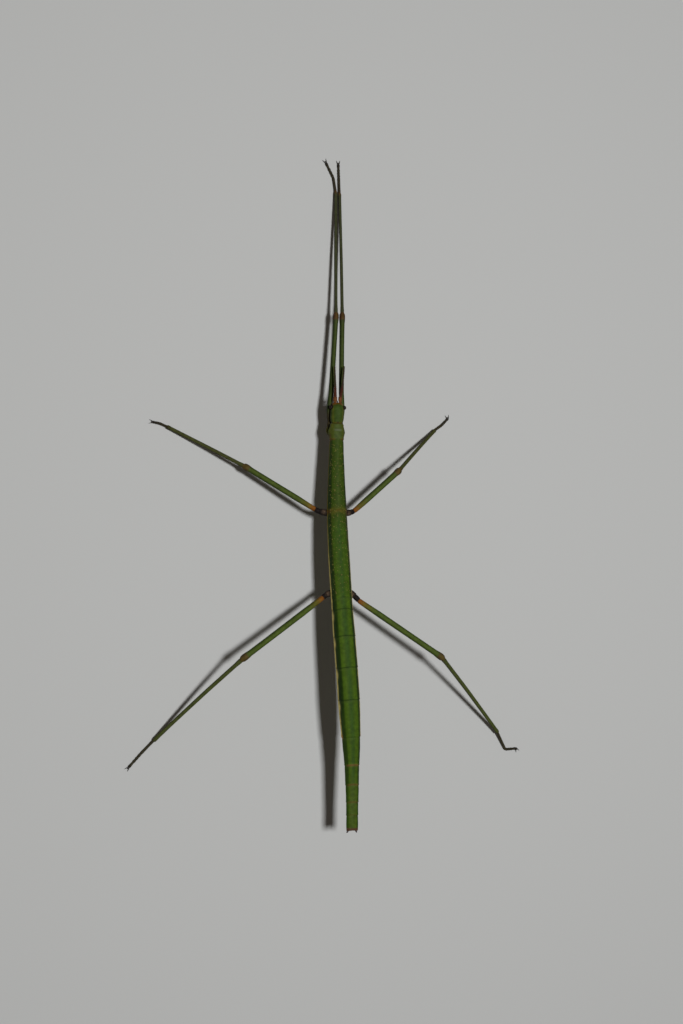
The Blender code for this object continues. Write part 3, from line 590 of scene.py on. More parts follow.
def body_tint(where, tilt, top, points):
    """The markings, painted in layers from the widest to the finest.

    Each amount is a strength times soft windows and bells, and the dark band on the flanks is painted
    shade. Numbers that go with where or past are in mm, and numbers that go with tilt are degrees.
    """
    hind, tail = step(mid_end + 6.0, ring_2, where), step(ring_7, ring_9, where)
    hump = window(mid_end + 2.0, ring_2, 3.0, where)
    # streak is the strength of painted shade: a dark band along both flanks, above the cream line.
    streak = 0.55 + 0.3 * window(shield_end + 10.0, ring_5, 8.0, where) - 0.3 * tail
    streak = streak * step(head_end, head_end + 4.0, where)
    shield = window(head_end + 0.2, shield_end - 0.2, 0.3, where)
    flank = window(1.0, 6.0 + 5.0 * step(mid_end, ring_2, where), 3.0, tilt)
    flank = flank * window(shield_end + 1.0, ring_6 - 0.6, 1.5, where)
    to_cream = step(mid_end - 2.0, mid_end + 24.0, where)
    layers = [
        (OLIVE_CHEST, window(head_end, mid_end + 2.0, 5.0, where)),
        (BRIGHT, (0.65 * hind - 0.15 * tail) * window(56.0, 74.0, 8.0, tilt)),
        (TEAL, 0.85 * window(mid_end + 6.0, ring_7, 8.0, where) * bell(tilt - 90.0, 6.0)),
        (PALE, 0.42 * window(head_end, mid_end - 2.0, 3.0, where) * bell(tilt - 90.0, 9.0)),
        (TAIL_GREEN, 0.6 * tail * step(52.0, 70.0, tilt)),
        (CHEEK, 0.6 * hump * bell(tilt - 47.0, 5.0)),
        # Painted shade: the dark band along both flanks.
        (DARK, streak * window(15.0, 46.0 + 5.0 * hind, 7.0, tilt)),
        (BELLY, 0.6 * window(-95.0, -40.0, 15.0, tilt)),
        (SHIELD_SIDE, 0.75 * shield * step(-50.0, -10.0, tilt)),
        (SHIELD_TOP, 0.8 * shield * step(50.0, 72.0, tilt)),
        (GROOVE_PALE, 0.5 * bell(where - groove + 0.2, 0.32) * step(52.0, 75.0, tilt)),
        (OCHRE, 0.95 * flank),
        (CREAM, (0.55 + 0.3 * hind) * flank * to_cream),
    ]
    for name in borders:
        layers += joint_layers(name, where, tilt, top)
    past_mid, past_shield = (past_joint(name, where, top) for name in ("metathorax", "mesothorax"))
    patchy = 0.75 + 0.25 * np.sin(9.0 * np.radians(tilt) + 3.0 * where)
    on_head = step(head_end + 0.1, head_end - 0.1, where)
    muzzle = step(1.5, 0.5, where + 0.5 * bell(tilt - 90.0, 22.0))
    layers += [
        (LAST_SPOT, 0.8 * bell(where - ring_6 + 0.4, 0.7) * bell(tilt - 8.0, 12.0)),
        (OCHRE, 0.7 * bell(past_mid - 0.2, 1.1) * step(0.0, 30.0, tilt) * patchy),
        (RUST, 0.7 * bell(past_mid + 0.1, 0.7) * bell(tilt - 14.0, 18.0)),
        (RUST, 0.55 * bell(past_shield, 0.3) * window(-10.0, 62.0, 20.0, tilt)),
        (RUST, 0.5 * bell(past_shield + 0.6, 1.3) * window(2.0, 28.0, 8.0, tilt)),
        (HEAD_GREEN, on_head * step(-20.0, 20.0, tilt)),
        (CHEEK, 0.85 * window(2.0, head_end + 1.2, 0.7, where) * bell(tilt - 38.0, 11.0)),
        (BROWN, 0.55 * on_head * step(1.4, 2.4, where) * bell(tilt - 6.0, 12.0)),
        (OCHRE, 0.7 * bell(where - head_end, 0.35) * step(10.0, 40.0, tilt)),
        (MUZZLE, 0.9 * muzzle * step(-10.0, 30.0, tilt)),
        (BROWN, 0.9 * bell(where - head_end + 0.25, 0.35) * bell(tilt - 90.0, 11.0)),
    ]
    for eye in eye_places:
        layers.append((BROWN, 0.7 * step(1.05, 0.78, np.linalg.norm(points - eye, axis=-1))))
    layers.append((TAIL_END, 0.9 * step(body_end - 1.3, body_end - 0.7, where)))
    return painted(GREEN, tilt.shape, layers)


tint = body_tint(ring_at, tilt, top, body)
nose = centre[0] - 0.5 * above[0]
notch = np.interp(body_end - NOTCH_DEPTH, behind, line[:, 0]), tail_y + NOTCH_DEPTH, centre[-1, 2]
points = tube_points(nose, body, np.array(notch))
tints = tube_points(tint[0, 0], tint, tint[-1, 0])
quads, fans = tube_faces(len(ring_at), AROUND)
make_piece("body_skin", [(points, quads, fans, tints)], skin_horn, BODY_NODES)

# %% [markdown]
# ## Tubes along a line
# Legs, feelers, claws and cerci are all tubes along a bent line. At each place the tube has two
# sideways directions, one level and one pointing up, and its ring is an oval in that plane.
# Keeping one direction level stops the ring from twisting as the line turns.


# %% Tube along a line
def rings_along(line, wide, high, around, square=1.0):
    """Oval rings along a line: the points, the outward direction, and the angle round the ring."""
    along = unit(np.gradient(line, axis=0))
    level = unit(np.cross(along, UP))
    upward = np.cross(level, along)
    angle = 2.0 * np.pi * (np.arange(around) + 0.5) / around
    x, z = squared(np.cos(angle), square) * wide[:, None], squared(np.sin(angle), square) * high[:, None]
    rings = line[:, None] + x[..., None] * level[:, None] + z[..., None] * upward[:, None]
    flat = unit(np.stack((high[:, None] * np.cos(angle), wide[:, None] * np.sin(angle)), axis=-1))
    outward = flat[..., :1] * level[:, None] + flat[..., 1:] * upward[:, None]
    return rings, outward, angle


def tube_part(line, rings, tint):
    """A closed tube as one part of a piece, with its poles at the two ends of the line."""
    quads, fans = tube_faces(rings.shape[0], rings.shape[1])
    tint = np.broadcast_to(tint, rings.shape)
    return tube_points(line[0], rings, line[-1]), quads, fans, tube_points(tint[0, 0], tint, tint[-1, 0])


def resample(line, spacing, width):
    """The line as points at an even spacing, with its corners rounded over the width in mm."""
    length = np.concatenate(([0.0], np.cumsum(np.linalg.norm(np.diff(line, axis=0), axis=1))))
    even = np.arange(0.0, length[-1], spacing)
    return even, blur(follow(even, length, line), width / spacing), length


def main_way(triangles, start):
    """The direction in which a long solid runs away from the start point."""
    points = triangles.reshape(-1, 3)
    way = np.linalg.svd(points - points.mean(axis=0), full_matrices=False)[2][0]
    return way if way @ (points.mean(axis=0) - start) > 0.0 else -way


print("a ring of 8 points turns by", 360 / 8, "degrees a step")

# %% [markdown]
# ## Legs
# An insect's leg has a hip piece (coxa), a ring (trochanter), a long thigh (femur), a long shin
# (tibia) and a foot of five joints (tarsus). The solids hold these one by one, and one skin
# covers them here, so that the joints read as folds and not as gaps.
# The joints are where the flat ends of two solids face each other. Between them the line
# follows the solids' own middle, which bows a little.

# %% Lines of the legs
PAIRS = ("fore", "mid", "hind")
LEG_PARTS = ("coxa", "trochanter", "femur", "tibia", "tarsus")
# Foot: length and heading of the sloping first joint and of the flat joints, heading of the claws.
# Headings turn from straight ahead towards the leg's own side.
FEET = {
    "fore_left": (5.05, 7.4, 6.0, 27.0, 27.0),
    "fore_right": (5.5, -0.6, 5.0, -1.7, -1.7),
    "mid_left": (2.6, 65.3, 2.5, 79.4, 79.0),
    "mid_right": (3.4, 56.3, 3.4, 44.2, -12.0),
    "hind_left": (6.1, 135.9, 6.5, 137.5, 137.5),
    "hind_right": (7.6, 151.1, 4.3, 87.0, 150.0),
}
SOLE_HEIGHT = 0.34
LEG_SPACING = 0.05
SHARES = np.array((0.05, 0.11, 0.18, 0.27, 0.36, 0.45, 0.55, 0.65, 0.75, 0.85, 0.94))


def heading(degrees, side):
    """A level direction that turns from straight ahead towards one side."""
    return np.array((side * np.sin(np.radians(degrees)), np.cos(np.radians(degrees)), 0.0))


def middle_line(triangles, start, end):
    """The middle of a long solid at some shares of the way from start to end, and its half sizes."""
    way = unit(end - start)
    level = unit(np.cross(way, UP))
    upward = np.cross(level, way)
    length = np.linalg.norm(end - start)
    reach = cuts(triangles, start, (way, level, upward), SHARES * length)
    aside, rise = reach[:, :2].mean(axis=1), reach[:, 2:].mean(axis=1)
    points = start + (SHARES * length)[:, None] * way + aside[:, None] * level + rise[:, None] * upward
    midway = reach[len(SHARES) // 2]
    return points, 0.5 * np.array((midway[1] - midway[0], midway[3] - midway[2]))


def leg_line(leg):
    """One leg as a smooth line, with the distance of each joint along it and the half sizes."""
    side = -1.0 if leg.endswith("left") else 1.0
    coxa, ring, thigh, shin = (triangles_of(leg + "_" + part) for part in LEG_PARTS[:4])
    stub_way = unit(middle_of(ring) - middle_of(coxa))
    thigh_way = main_way(thigh, middle_of(ring))
    shin_way = main_way(shin, middle_of(thigh))
    bend_1 = 0.5 * (end_middle(coxa, stub_way) + end_middle(ring, -stub_way))
    hip = 0.5 * (end_middle(ring, thigh_way) + end_middle(thigh, -thigh_way))
    knee = 0.5 * (end_middle(thigh, thigh_way) + end_middle(shin, -shin_way))
    ankle = end_middle(shin, shin_way) + 0.15 * shin_way
    hold = middle_of(coxa)
    inside = follow(hold[1:2], line[::-1, 1], line[::-1])[0]
    if leg.startswith("fore"):
        root = end_middle(coxa, -stub_way) + 0.3 * stub_way
        inside[1] = root[1] - 0.4
        inside[2] = 0.5 * (inside[2] + root[2])
    else:
        root = end_middle(coxa, unit(inside - hold))
    slope_length, slope_heading, flat_length, flat_heading, _ = FEET[leg]
    bend = ankle + slope_length * heading(slope_heading, side)
    toe = bend + flat_length * heading(flat_heading, side)
    bend[2] = toe[2] = SOLE_HEIGHT
    thigh_points, thigh_half = middle_line(thigh, hip, knee)
    shin_points, shin_half = middle_line(shin, knee, ankle)
    path = [inside, root, bend_1, hip, *thigh_points, knee, *shin_points, ankle, bend, toe]
    even, points, length = resample(np.array(path), LEG_SPACING, 0.5)
    softer = resample(np.array(path), LEG_SPACING, 0.9)[1]
    names = ("inside", "root", "coxa_end", "hip", "knee", "ankle", "bend", "toe")
    joints = dict(zip(names, length[[0, 1, 2, 3, 4 + len(SHARES), 5 + 2 * len(SHARES), -2, -1]]))
    points = points + (softer - points) * step(joints["hip"] + 1.0, joints["hip"] - 1.0, even)[:, None]
    found = {"side": side, "pair": leg.split("_")[0], "even": even, "points": points, "joints": joints}
    return {**found, "thigh": thigh_half, "shin": shin_half}


leg_lines = {pair + "_" + side: leg_line(pair + "_" + side) for pair in PAIRS for side in ("left", "right")}

# %% [markdown]
# ## Thickness of a leg
# The thickness along the leg is a list of places with a width and a height, joined smoothly.
# The thigh swells before the knee, and its two side lobes reach past the joint and hold the shin.
# The foot's joints widen towards their far ends, and their soles are flat where they stand.

# %% Thickness of a leg
COXA_HALF, TROCHANTER_HALF, FOOT_HALF = 1.12, 0.90, 0.5
FORE_HIP, FORE_SHIN, OTHER_SHIN = 0.86, 1.16, 1.06
LEG_AROUND, LEG_SQUARE = 40, 0.88
# Each row is a share of the way along the part, and its width and height there as shares of full.
THIGH_ROWS = (
    (0.004, 0.70, 0.70), (0.012, 0.84, 0.84), (0.07, 0.88, 0.90), (0.25, 1.0, 1.0), (0.7, 0.97, 0.97),
    (0.92, 0.99, 1.0), (0.955, 1.14, 1.12), (0.978, 1.18, 1.12), (0.996, 1.12, 0.98),
)
SHIN_ROWS = (
    (0.02, 1.08, 1.15), (0.035, 1.15, 1.20), (0.08, 0.98, 1.05), (0.4, 0.95, 1.0), (0.8, 0.90, 0.95),
    (0.95, 0.94, 0.97), (0.975, 1.03, 1.05), (0.992, 1.0, 1.0), (0.999, 0.74, 0.76),
)
SLOPE_ROWS = (
    (0.02, 0.80, 0.80), (0.08, 0.88, 0.88), (0.3, 0.84, 0.86), (0.8, 0.96, 0.96), (0.95, 1.04, 1.0),
    (0.995, 0.92, 0.9),
)
FLAT_ROWS = (
    (0.03, 0.90, 0.88), (0.15, 1.08, 1.04), (0.19, 1.04, 1.0), (0.215, 0.84, 0.82), (0.35, 1.06, 1.02),
    (0.39, 1.02, 0.98), (0.415, 0.82, 0.80), (0.55, 1.06, 1.0), (0.59, 1.02, 0.96), (0.615, 0.80, 0.78),
    (0.75, 0.86, 0.84), (0.88, 1.04, 0.98), (0.96, 0.96, 0.92), (1.0, 0.55, 0.55),
)


def leg_thickness(found, where):
    """Half width and half height at each distance along a leg."""
    at, fore = found["joints"], found["pair"] == "fore"
    coxa, ring = (half * (FORE_HIP if fore else 1.0) for half in (COXA_HALF, TROCHANTER_HALF))
    hip_rows = (
        (at["inside"], 1.1 * coxa), (at["root"], 1.05 * coxa),
        (0.4 * at["root"] + 0.6 * at["coxa_end"], coxa), (at["coxa_end"] - 0.18, 0.95 * coxa),
        (at["coxa_end"], 0.78 * coxa), (at["coxa_end"] + 0.18, ring),
        (0.5 * (at["coxa_end"] + at["hip"]), 1.05 * ring), (at["hip"] - 0.15, 0.98 * ring),
    )
    rows = [(place, half, half) for place, half in hip_rows]
    shin = found["shin"] * (FORE_SHIN if fore else OTHER_SHIN)
    foot = (FOOT_HALF, FOOT_HALF)
    spans = (("hip", "knee", THIGH_ROWS, found["thigh"]), ("knee", "ankle", SHIN_ROWS, shin),
             ("ankle", "bend", SLOPE_ROWS, foot), ("bend", "toe", FLAT_ROWS, foot))
    for start, end, table, half in spans:
        for share, width, height in table:
            rows.append((at[start] + share * (at[end] - at[start]), width * half[0], height * half[1]))
    places, widths, heights = np.array(sorted(rows)).T
    lobes = places + 0.4 * bell(places - at["knee"], 0.9)
    sizes = np.stack((np.interp(where, lobes, widths), np.interp(where, places, heights)), axis=1)
    even = np.arange(0.0, where[-1] + LEG_SPACING, LEG_SPACING)
    return follow(where, even, blur(follow(even, where, sizes), 1.6))


def leg_spacing(found):
    """Distance between the rings of a leg: fine round the joints and on the foot."""
    at = found["joints"]
    marks = np.array([at[name] for name in ("coxa_end", "hip", "knee", "ankle")])

    def size(where):
        nearest = np.abs(where[:, None] - marks[None, :]).min(axis=1)
        return np.where(where > at["ankle"], 0.1, 0.1 + 0.22 * step(1.0, 3.0, nearest))

    return size


print("rows of thickness:", len(THIGH_ROWS), len(SHIN_ROWS), len(SLOPE_ROWS), len(FLAT_ROWS))

# %% [markdown]
# ## Colours of a leg
# The colours change along the leg, and stripes follow its corners. An angle of 90 degrees is
# the top of a leg, 270 its underside, and 0 and 180 are its two sides.

# %% Tints of a leg
THIGH = {"fore": (0.034, 0.047, 0.008), "mid": (0.058, 0.083, 0.010), "hind": (0.060, 0.090, 0.010)}
SHIN = {"fore": (0.046, 0.050, 0.020), "mid": (0.056, 0.060, 0.015), "hind": (0.066, 0.078, 0.020)}
ORANGE = (0.210, 0.070, 0.008)
YELLOW = (0.140, 0.100, 0.010)
RIDGE = (0.082, 0.118, 0.014)
FLESH = (0.165, 0.105, 0.066)
DARK_BROWN = (0.009, 0.006, 0.005)
FOOT_BROWN = (0.036, 0.027, 0.016)
ROOT_RED = (0.060, 0.024, 0.012)
# Brown of the front thigh's root, partly its own colour and partly painted shade from the head.
ROOT_BROWN_AND_SHADE = (0.034, 0.020, 0.010)
KNEE_RED = (0.075, 0.028, 0.012)
KNEE_BROWN = (0.080, 0.048, 0.016)
HIP_YELLOW = (0.095, 0.095, 0.012)


def leg_tint(found, where, angle):
    """The leg's colours: dark hip, orange root of the thigh, green thigh, olive shin, brown foot.

    The front legs have a yellowish hip and a brown root instead; the root's brown is partly painted shade
    from the head above it. Places are in mm, angles in degrees.
    """
    at, fore = found["joints"], found["pair"] == "fore"
    where, angle = where[:, None], np.degrees(angle)[None, :]
    side_on = np.abs(np.cos(np.radians(angle))) - 1.0
    past_hip, past_knee = where - at["hip"], where - at["knee"]
    past_ankle, before_toe = where - at["ankle"], at["toe"] - where
    if fore:
        inner = 0.0 if found["side"] < 0.0 else 180.0
        inside = window(inner - 60.0, inner + 60.0, 30.0, (angle + 90.0) % 360.0 - 90.0)
        layers = [
            (ROOT_RED, 0.8 * step(9.0, 3.0, past_hip) * inside),
            # The dark brown root of each front thigh is its own colour and partly painted shade from the
            # head above it.
            (ROOT_BROWN_AND_SHADE, 0.8 * step(5.0, 2.5, past_hip)),
        ]
    else:
        layers = [(YELLOW, 0.9 * step(7.5, 2.0, past_hip)), (ORANGE, step(3.2, 0.3, past_hip))]
    on_thigh = step(1.0, 5.0, past_hip) * step(1.0, -2.0, past_knee)
    on_shin = window(1.5, at["ankle"] - at["knee"], 0.5, past_knee)
    layers += [
        (DARK, 0.4 * on_thigh * (bell(angle - 50.0, 11.0) + bell(angle - 130.0, 11.0))),
        (RIDGE, 0.45 * on_thigh * bell(angle - 90.0, 11.0)),
        (DARK, 0.7 * on_thigh * bell(side_on, 0.22)),
        (SHIN[found["pair"]], 0.95 * step(-3.5, 1.0, past_knee)),
        (KNEE_RED if fore else KNEE_BROWN, 0.85 * window(-1.3, 0.7, 0.6, past_knee)),
        (OCHRE, 0.45 * window(-1.2, 0.6, 0.4, past_knee) * bell(angle - 90.0, 20.0)),
        (DARK_BROWN, 0.8 * bell(past_knee + 0.6, 0.5) * bell(side_on, 0.25)),
        (BROWN, 0.5 * on_shin * bell(side_on, 0.2)),
        (RUST if fore else BROWN, 0.6 * bell(past_ankle, 0.9)),
        (FOOT_BROWN, 0.85 * step(-0.1, 0.6, past_ankle)),
    ]
    for share in (0.0, 0.2, 0.4, 0.6):
        joint = at["bend"] + share * (at["toe"] - at["bend"])
        layers.append((DARK_BROWN, 0.6 * bell(where - joint, 0.22)))
    layers.append((DARK_BROWN, 0.7 * step(1.6, 0.4, before_toe)))
    if fore:
        layers.append((HIP_YELLOW, 0.9 * step(0.5, -1.5, where - at["coxa_end"])))
    else:
        patchy = 0.55 + 0.35 * np.sin(5.0 * where + 0.07 * angle) * np.sin(0.11 * angle - 3.0 * where)
        fleshy = patchy * bell(where - at["root"] - 0.9, 0.8) * bell(angle - 75.0, 45.0)
        layers += [(DARK_BROWN, step(0.15, -0.2, past_hip)), (FLESH, fleshy)]
    return painted(THIGH[found["pair"]], (where.shape[0], angle.shape[1]), layers)


print("tints of the thighs:", THIGH)

# %% [markdown]
# ## Skin of the legs
# Each leg takes its line, its thickness and its tints from the cells above, and adds a relief:
# keels at the four corners, teeth under the thigh, and shallow grooves above and below.


# %% Skin of the legs
def make_leg_skin(leg, found):
    """One leg's skin: rings along its line, with keels, teeth, folds and flat soles."""
    at = found["joints"]
    where = spaced(0.0, at["toe"], leg_spacing(found))
    line_points = follow(where, found["even"], found["points"])
    wide, high = leg_thickness(found, where).T
    rings, outward, angle = rings_along(line_points, wide, high, LEG_AROUND, LEG_SQUARE)
    degrees = np.degrees(angle)[None, :]
    place = where[:, None]
    on_thigh = window(at["hip"] + 2.0, at["knee"] - 1.6, 1.0, place)
    on_shin = window(at["knee"] + 1.6, at["ankle"] - 1.2, 1.0, place)
    corners = sum(bell(degrees - corner, 12.0) for corner in (45.0, 135.0, 225.0, 315.0))
    teeth = 0.5 + 0.5 * np.cos(2.0 * np.pi * place / 1.7) ** 9
    below = bell(degrees - 225.0, 14.0) + bell(degrees - 315.0, 14.0)
    lift = (0.055 * on_thigh + 0.04 * on_shin) * corners + 0.05 * on_thigh * teeth * below
    lift = lift - 0.05 * (on_thigh + on_shin) * (bell(degrees - 90.0, 16.0) + bell(degrees - 270.0, 16.0))
    rings = rings + lift[..., None] * outward
    rings[..., 2] = np.maximum(rings[..., 2], 0.0)
    part = tube_part(line_points, rings, leg_tint(found, where, angle))
    nodes = [leg + "_" + name for name in LEG_PARTS]
    make_piece("leg_skin_" + leg, [part], leg_horn, nodes)


for leg, found in leg_lines.items():
    make_leg_skin(leg, found)

# %% [markdown]
# ## Claws
# The last joint of each foot carries two curved claws with a soft round pad between them.
# A claw is a tube that thins to a point along a bow. It is horn, harder and darker than skin,
# so it is a piece of its own.

# %% Claws
CLAW_REACH, CLAW_SPREAD = 1.6, 26.0
CLAW_THICK, CLAW_THIN, CLAW_ARCH, CLAW_FOOT, CLAW_TIP = 0.2, 0.05, 0.22, 0.36, 0.1
PAD_HEIGHT, PAD_HALF = 0.24, (0.26, 0.4, 0.2)


def spike(start, end, thick, thin, arch, around=12, count=18):
    """A curved cone from start to end, rising by the arch in its middle."""
    share = np.linspace(0.0, 1.0, count)
    points = start + (end - start) * share[:, None] + arch * np.sin(np.pi * share)[:, None] * UP
    radius = (thick + (thin - thick) * share ** 0.8) * np.sqrt(1.0 - 0.98 * share ** 6)
    return points, rings_along(points, radius, radius, around)[0]


def lobe(middle, half, ways, power=1.0, around=28, count=18):
    """A rounded lobe: an egg with half sizes along three ways, squarer where the power is small."""
    level = np.pi * (np.arange(count) + 0.5) / count
    angle = 2.0 * np.pi * np.arange(around) / around
    ring = np.sin(level)[:, None] ** power
    x = ring * squared(np.cos(angle), power) * half[0]
    y = squared(np.cos(level), power)[:, None] * half[1] + 0.0 * x
    z = ring * squared(np.sin(angle), power) * half[2]
    rings = middle + np.einsum("...k,kj->...j", np.stack((x, y, z), axis=-1), np.array(ways))
    ends = np.array((middle + half[1] * ways[1], middle - half[1] * ways[1]))
    return ends, rings


def make_claws(leg, found):
    """Two claws and the pad between them at the end of one foot."""
    way = heading(FEET[leg][4], found["side"])
    aside = np.array((way[1], -way[0], 0.0))
    toe = found["points"][-1]
    parts = []
    for hand in (-1.0, 1.0):
        spread = np.radians(CLAW_SPREAD) * hand
        claw_way = np.cos(spread) * way + np.sin(spread) * aside
        start = toe - 0.25 * way + 0.17 * hand * aside
        end = toe + CLAW_REACH * claw_way
        start[2], end[2] = CLAW_FOOT, CLAW_TIP
        points, rings = spike(start, end, CLAW_THICK, CLAW_THIN, CLAW_ARCH)
        parts.append(tube_part(points, rings, np.array(DARK_BROWN)))
    pad = toe + 0.25 * way
    pad[2] = PAD_HEIGHT
    ends, rings = lobe(pad, PAD_HALF, (aside, way, UP), 0.9, 20, 12)
    parts.append(tube_part(ends, rings, np.array(FOOT_BROWN)))
    make_piece("claws_" + leg, parts, claw_horn)


for leg, found in leg_lines.items():
    make_claws(leg, found)

# %% [markdown]
# ## Eyes
# An insect's eye is a dome of hundreds of lenses in a honeycomb. The dome is a slightly long
# egg whose poles point outwards and inwards. The honeycomb is a relief: three waves that cross at 60
# degrees, in a flat map of the dome, add up to rows of small hills.

# %% Eyes
LENS, LENS_HEIGHT = 0.1, 0.0035
THIRDS = (0.0, 2.0944, 4.1888)
EYE_HALF = np.array((0.98, 1.06, 1.0))
EYE_DARK, EYE_LIGHT = (0.014, 0.008, 0.005), (0.060, 0.028, 0.012)
SIDES = (("left", -1.0), ("right", 1.0))


def make_eye(side, sign, place):
    """One eye: a dome with lenses, dark brown with a lighter streak."""
    size = 0.5 * (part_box("eye_" + side)[1].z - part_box("eye_" + side)[0].z) / MM
    count, around = 110, 150
    level = np.pi * (np.arange(count) + 0.5) / count
    angle = 2.0 * np.pi * np.arange(around) / around
    out, radial = np.cos(level)[:, None], np.sin(level)[:, None]
    shape = np.stack((sign * out + 0.0 * angle, radial * np.cos(angle), radial * np.sin(angle)), axis=-1)
    flat = level[:, None] * size
    u, v = flat * np.cos(angle), flat * np.sin(angle)
    wave = 2.0 * np.pi / LENS
    hills = sum(np.cos(wave * (u * np.cos(third) + v * np.sin(third))) for third in THIRDS)
    hills = hills * step(2.0, 1.4, level)[:, None]
    rings = place + shape * EYE_HALF * size + LENS_HEIGHT * hills[..., None] * shape
    streak = bell(shape[..., 2] - 0.25, 0.3) * step(0.0, 0.5, shape[..., 0] * sign)
    tint = painted(EYE_DARK, streak.shape, [(EYE_LIGHT, 0.35 * streak)])
    pole = sign * EYE_HALF[0] * size * RIGHT
    ends = np.array((place + pole, place - pole))
    make_piece("eye_dome_" + side, [tube_part(ends, rings, tint)], eye_horn, ["eye_" + side])


for (side, sign), place in zip(SIDES, eye_places):
    make_eye(side, sign, place)

# %% [markdown]
# ## Feelers
# A feeler has a stout first joint, a short second one and a thread of many short joints.
# The line comes from the solid, and the thickness is a slow taper with a nick at each joint.

# %% Feelers
FEELER_JOINTS = np.concatenate(([1.7, 2.4], 2.4 + np.cumsum(np.linspace(0.55, 0.95, 13))))
FEELER_PLACES = (-0.5, 0.0, 0.4, 1.6, 1.8, 2.4, 2.6, 4.5, 7.0, 13.0)
FEELER_HALVES = (0.36, 0.50, 0.66, 0.64, 0.53, 0.55, 0.50, 0.46, 0.34, 0.24)
FEELER_AROUND = 16
THREAD, THREAD_RED, FIRST_RED = (0.040, 0.026, 0.012), (0.075, 0.016, 0.007), (0.150, 0.052, 0.012)


def make_feeler(side, root):
    """One feeler: a jointed tube along the middle of its solid."""
    solid = triangles_of("antenna_" + side)
    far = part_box("antenna_" + side)[1].y / MM
    steps = np.linspace(0.4, far - root[1] - 0.15, 26)
    reach = cuts(solid, root, (AHEAD, RIGHT, UP), steps)
    path = root + np.stack((reach[:, :2].mean(axis=1), steps, reach[:, 2:].mean(axis=1)), axis=1)
    tip = path[-1] + (path[-1] - path[-2]) * 0.13
    path = np.concatenate(((root - 0.5 * AHEAD)[None], root[None], path, tip[None]))
    even, points, _ = resample(path, 0.07, 0.8)
    where = even - 0.5
    points[:, 0] -= (0.16 + 0.12 * np.sign(root[0] - line[0, 0])) * bell(where - 1.5, 2.5)
    radius = np.interp(where, FEELER_PLACES, FEELER_HALVES)
    nearest = where[:, None] - FEELER_JOINTS
    nicks, swells = bell(nearest, 0.08).max(axis=1), bell(nearest + 0.25, 0.2).max(axis=1)
    radius = radius * (1.0 - 0.2 * nicks + 0.07 * swells)
    radius = radius * np.sqrt(np.clip((where[-1] + 0.02 - where) / 0.35, 0.0, 1.0))
    flat = 1.0 - 0.14 * step(2.2, 1.8, where)
    rings = rings_along(points, radius, radius * flat, FEELER_AROUND)[0]
    where = where[:, None]
    tint = painted(THREAD, rings.shape[:2], [
        (THREAD_RED, step(6.0, 4.0, where)),
        (FIRST_RED, step(2.2, 0.8, where)),
        (BROWN, 0.6 * bell(nearest, 0.1).max(axis=1, keepdims=True)),
    ])
    part = tube_part(points, rings, tint)
    make_piece("feeler_" + side, [part], feeler_horn, ["antenna_" + side])


for (side, _), root in zip(SIDES, feeler_roots):
    make_feeler(side, root)

# %% [markdown]
# ## Mouth
# A stick insect bites leaves with two jaws under an upper lip, and holds them with palps.
# From above the mouth is hidden, and from the front it shows as a few rounded lobes.
# Eggs with squared sides make the lip, the jaws and the lower lip.

# %% Mouth and palps
low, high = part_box("mouthparts")
mouth, reach = (0.5 * (np.array(high) + sign * np.array(low)) / MM for sign in (1.0, -1.0))
WAYS = (RIGHT, AHEAD, UP)
# Each lobe has its place and half sizes as shares of the mouth's own, its squareness and its tint.
# A lobe that lies aside comes twice, as its own mirror image.
MOUTH_LOBES = (
    ((0.0, 0.68, 0.15), (0.55, 0.26, 0.75), 0.8, (0.105, 0.110, 0.028)),
    ((-0.46, 0.32, 0.0), (0.44, 0.48, 0.85), 0.85, (0.080, 0.070, 0.022)),
    ((-0.34, -0.28, -0.1), (0.42, 0.62, 0.72), 0.85, (0.070, 0.085, 0.025)),
    ((0.0, -0.1, 0.9), (0.9, 0.88, 0.65), 0.8, (0.060, 0.085, 0.020)),
)
parts = []
for place, half, power, colour in MOUTH_LOBES:
    for hand in (1.0, -1.0) if place[0] else (1.0,):
        middle = mouth + np.array(place) * (hand, 1.0, 1.0) * reach
        ends, rings = lobe(middle, np.array(half) * reach, WAYS, power)
        parts.append(tube_part(ends, rings, np.array(colour)))
make_piece("jaws", parts, skin_horn, ["mouthparts"])


def make_palp(side):
    """One palp: four short joints, each a little club."""
    solid = triangles_of("palp_" + side)
    way = main_way(solid, mouth)
    start, end = end_middle(solid, -way), end_middle(solid, way)
    share = np.linspace(0.0, 1.0, 60)
    points = start - 0.5 * way + (end - start + 0.5 * way) * share[:, None]
    joints = np.array((0.3, 0.52, 0.75))
    radius = (0.24 - 0.05 * share) * (1.0 - 0.25 * bell(share[:, None] - joints, 0.03).max(axis=1))
    radius = radius * np.sqrt(np.clip((1.005 - share) / 0.12, 0.0, 1.0))
    part = tube_part(points, rings_along(points, radius, radius, 14)[0], np.array(FLESH))
    make_piece("palp_skin_" + side, [part], feeler_horn, ["palp_" + side])


for side, _ in SIDES:
    make_palp(side)

# %% [markdown]
# ## Tail
# The female carries a boat-shaped plate under the last rings, which holds the egg, and two
# short cerci at the hind corners. The plate is a half tube that narrows at both ends, with a keel.

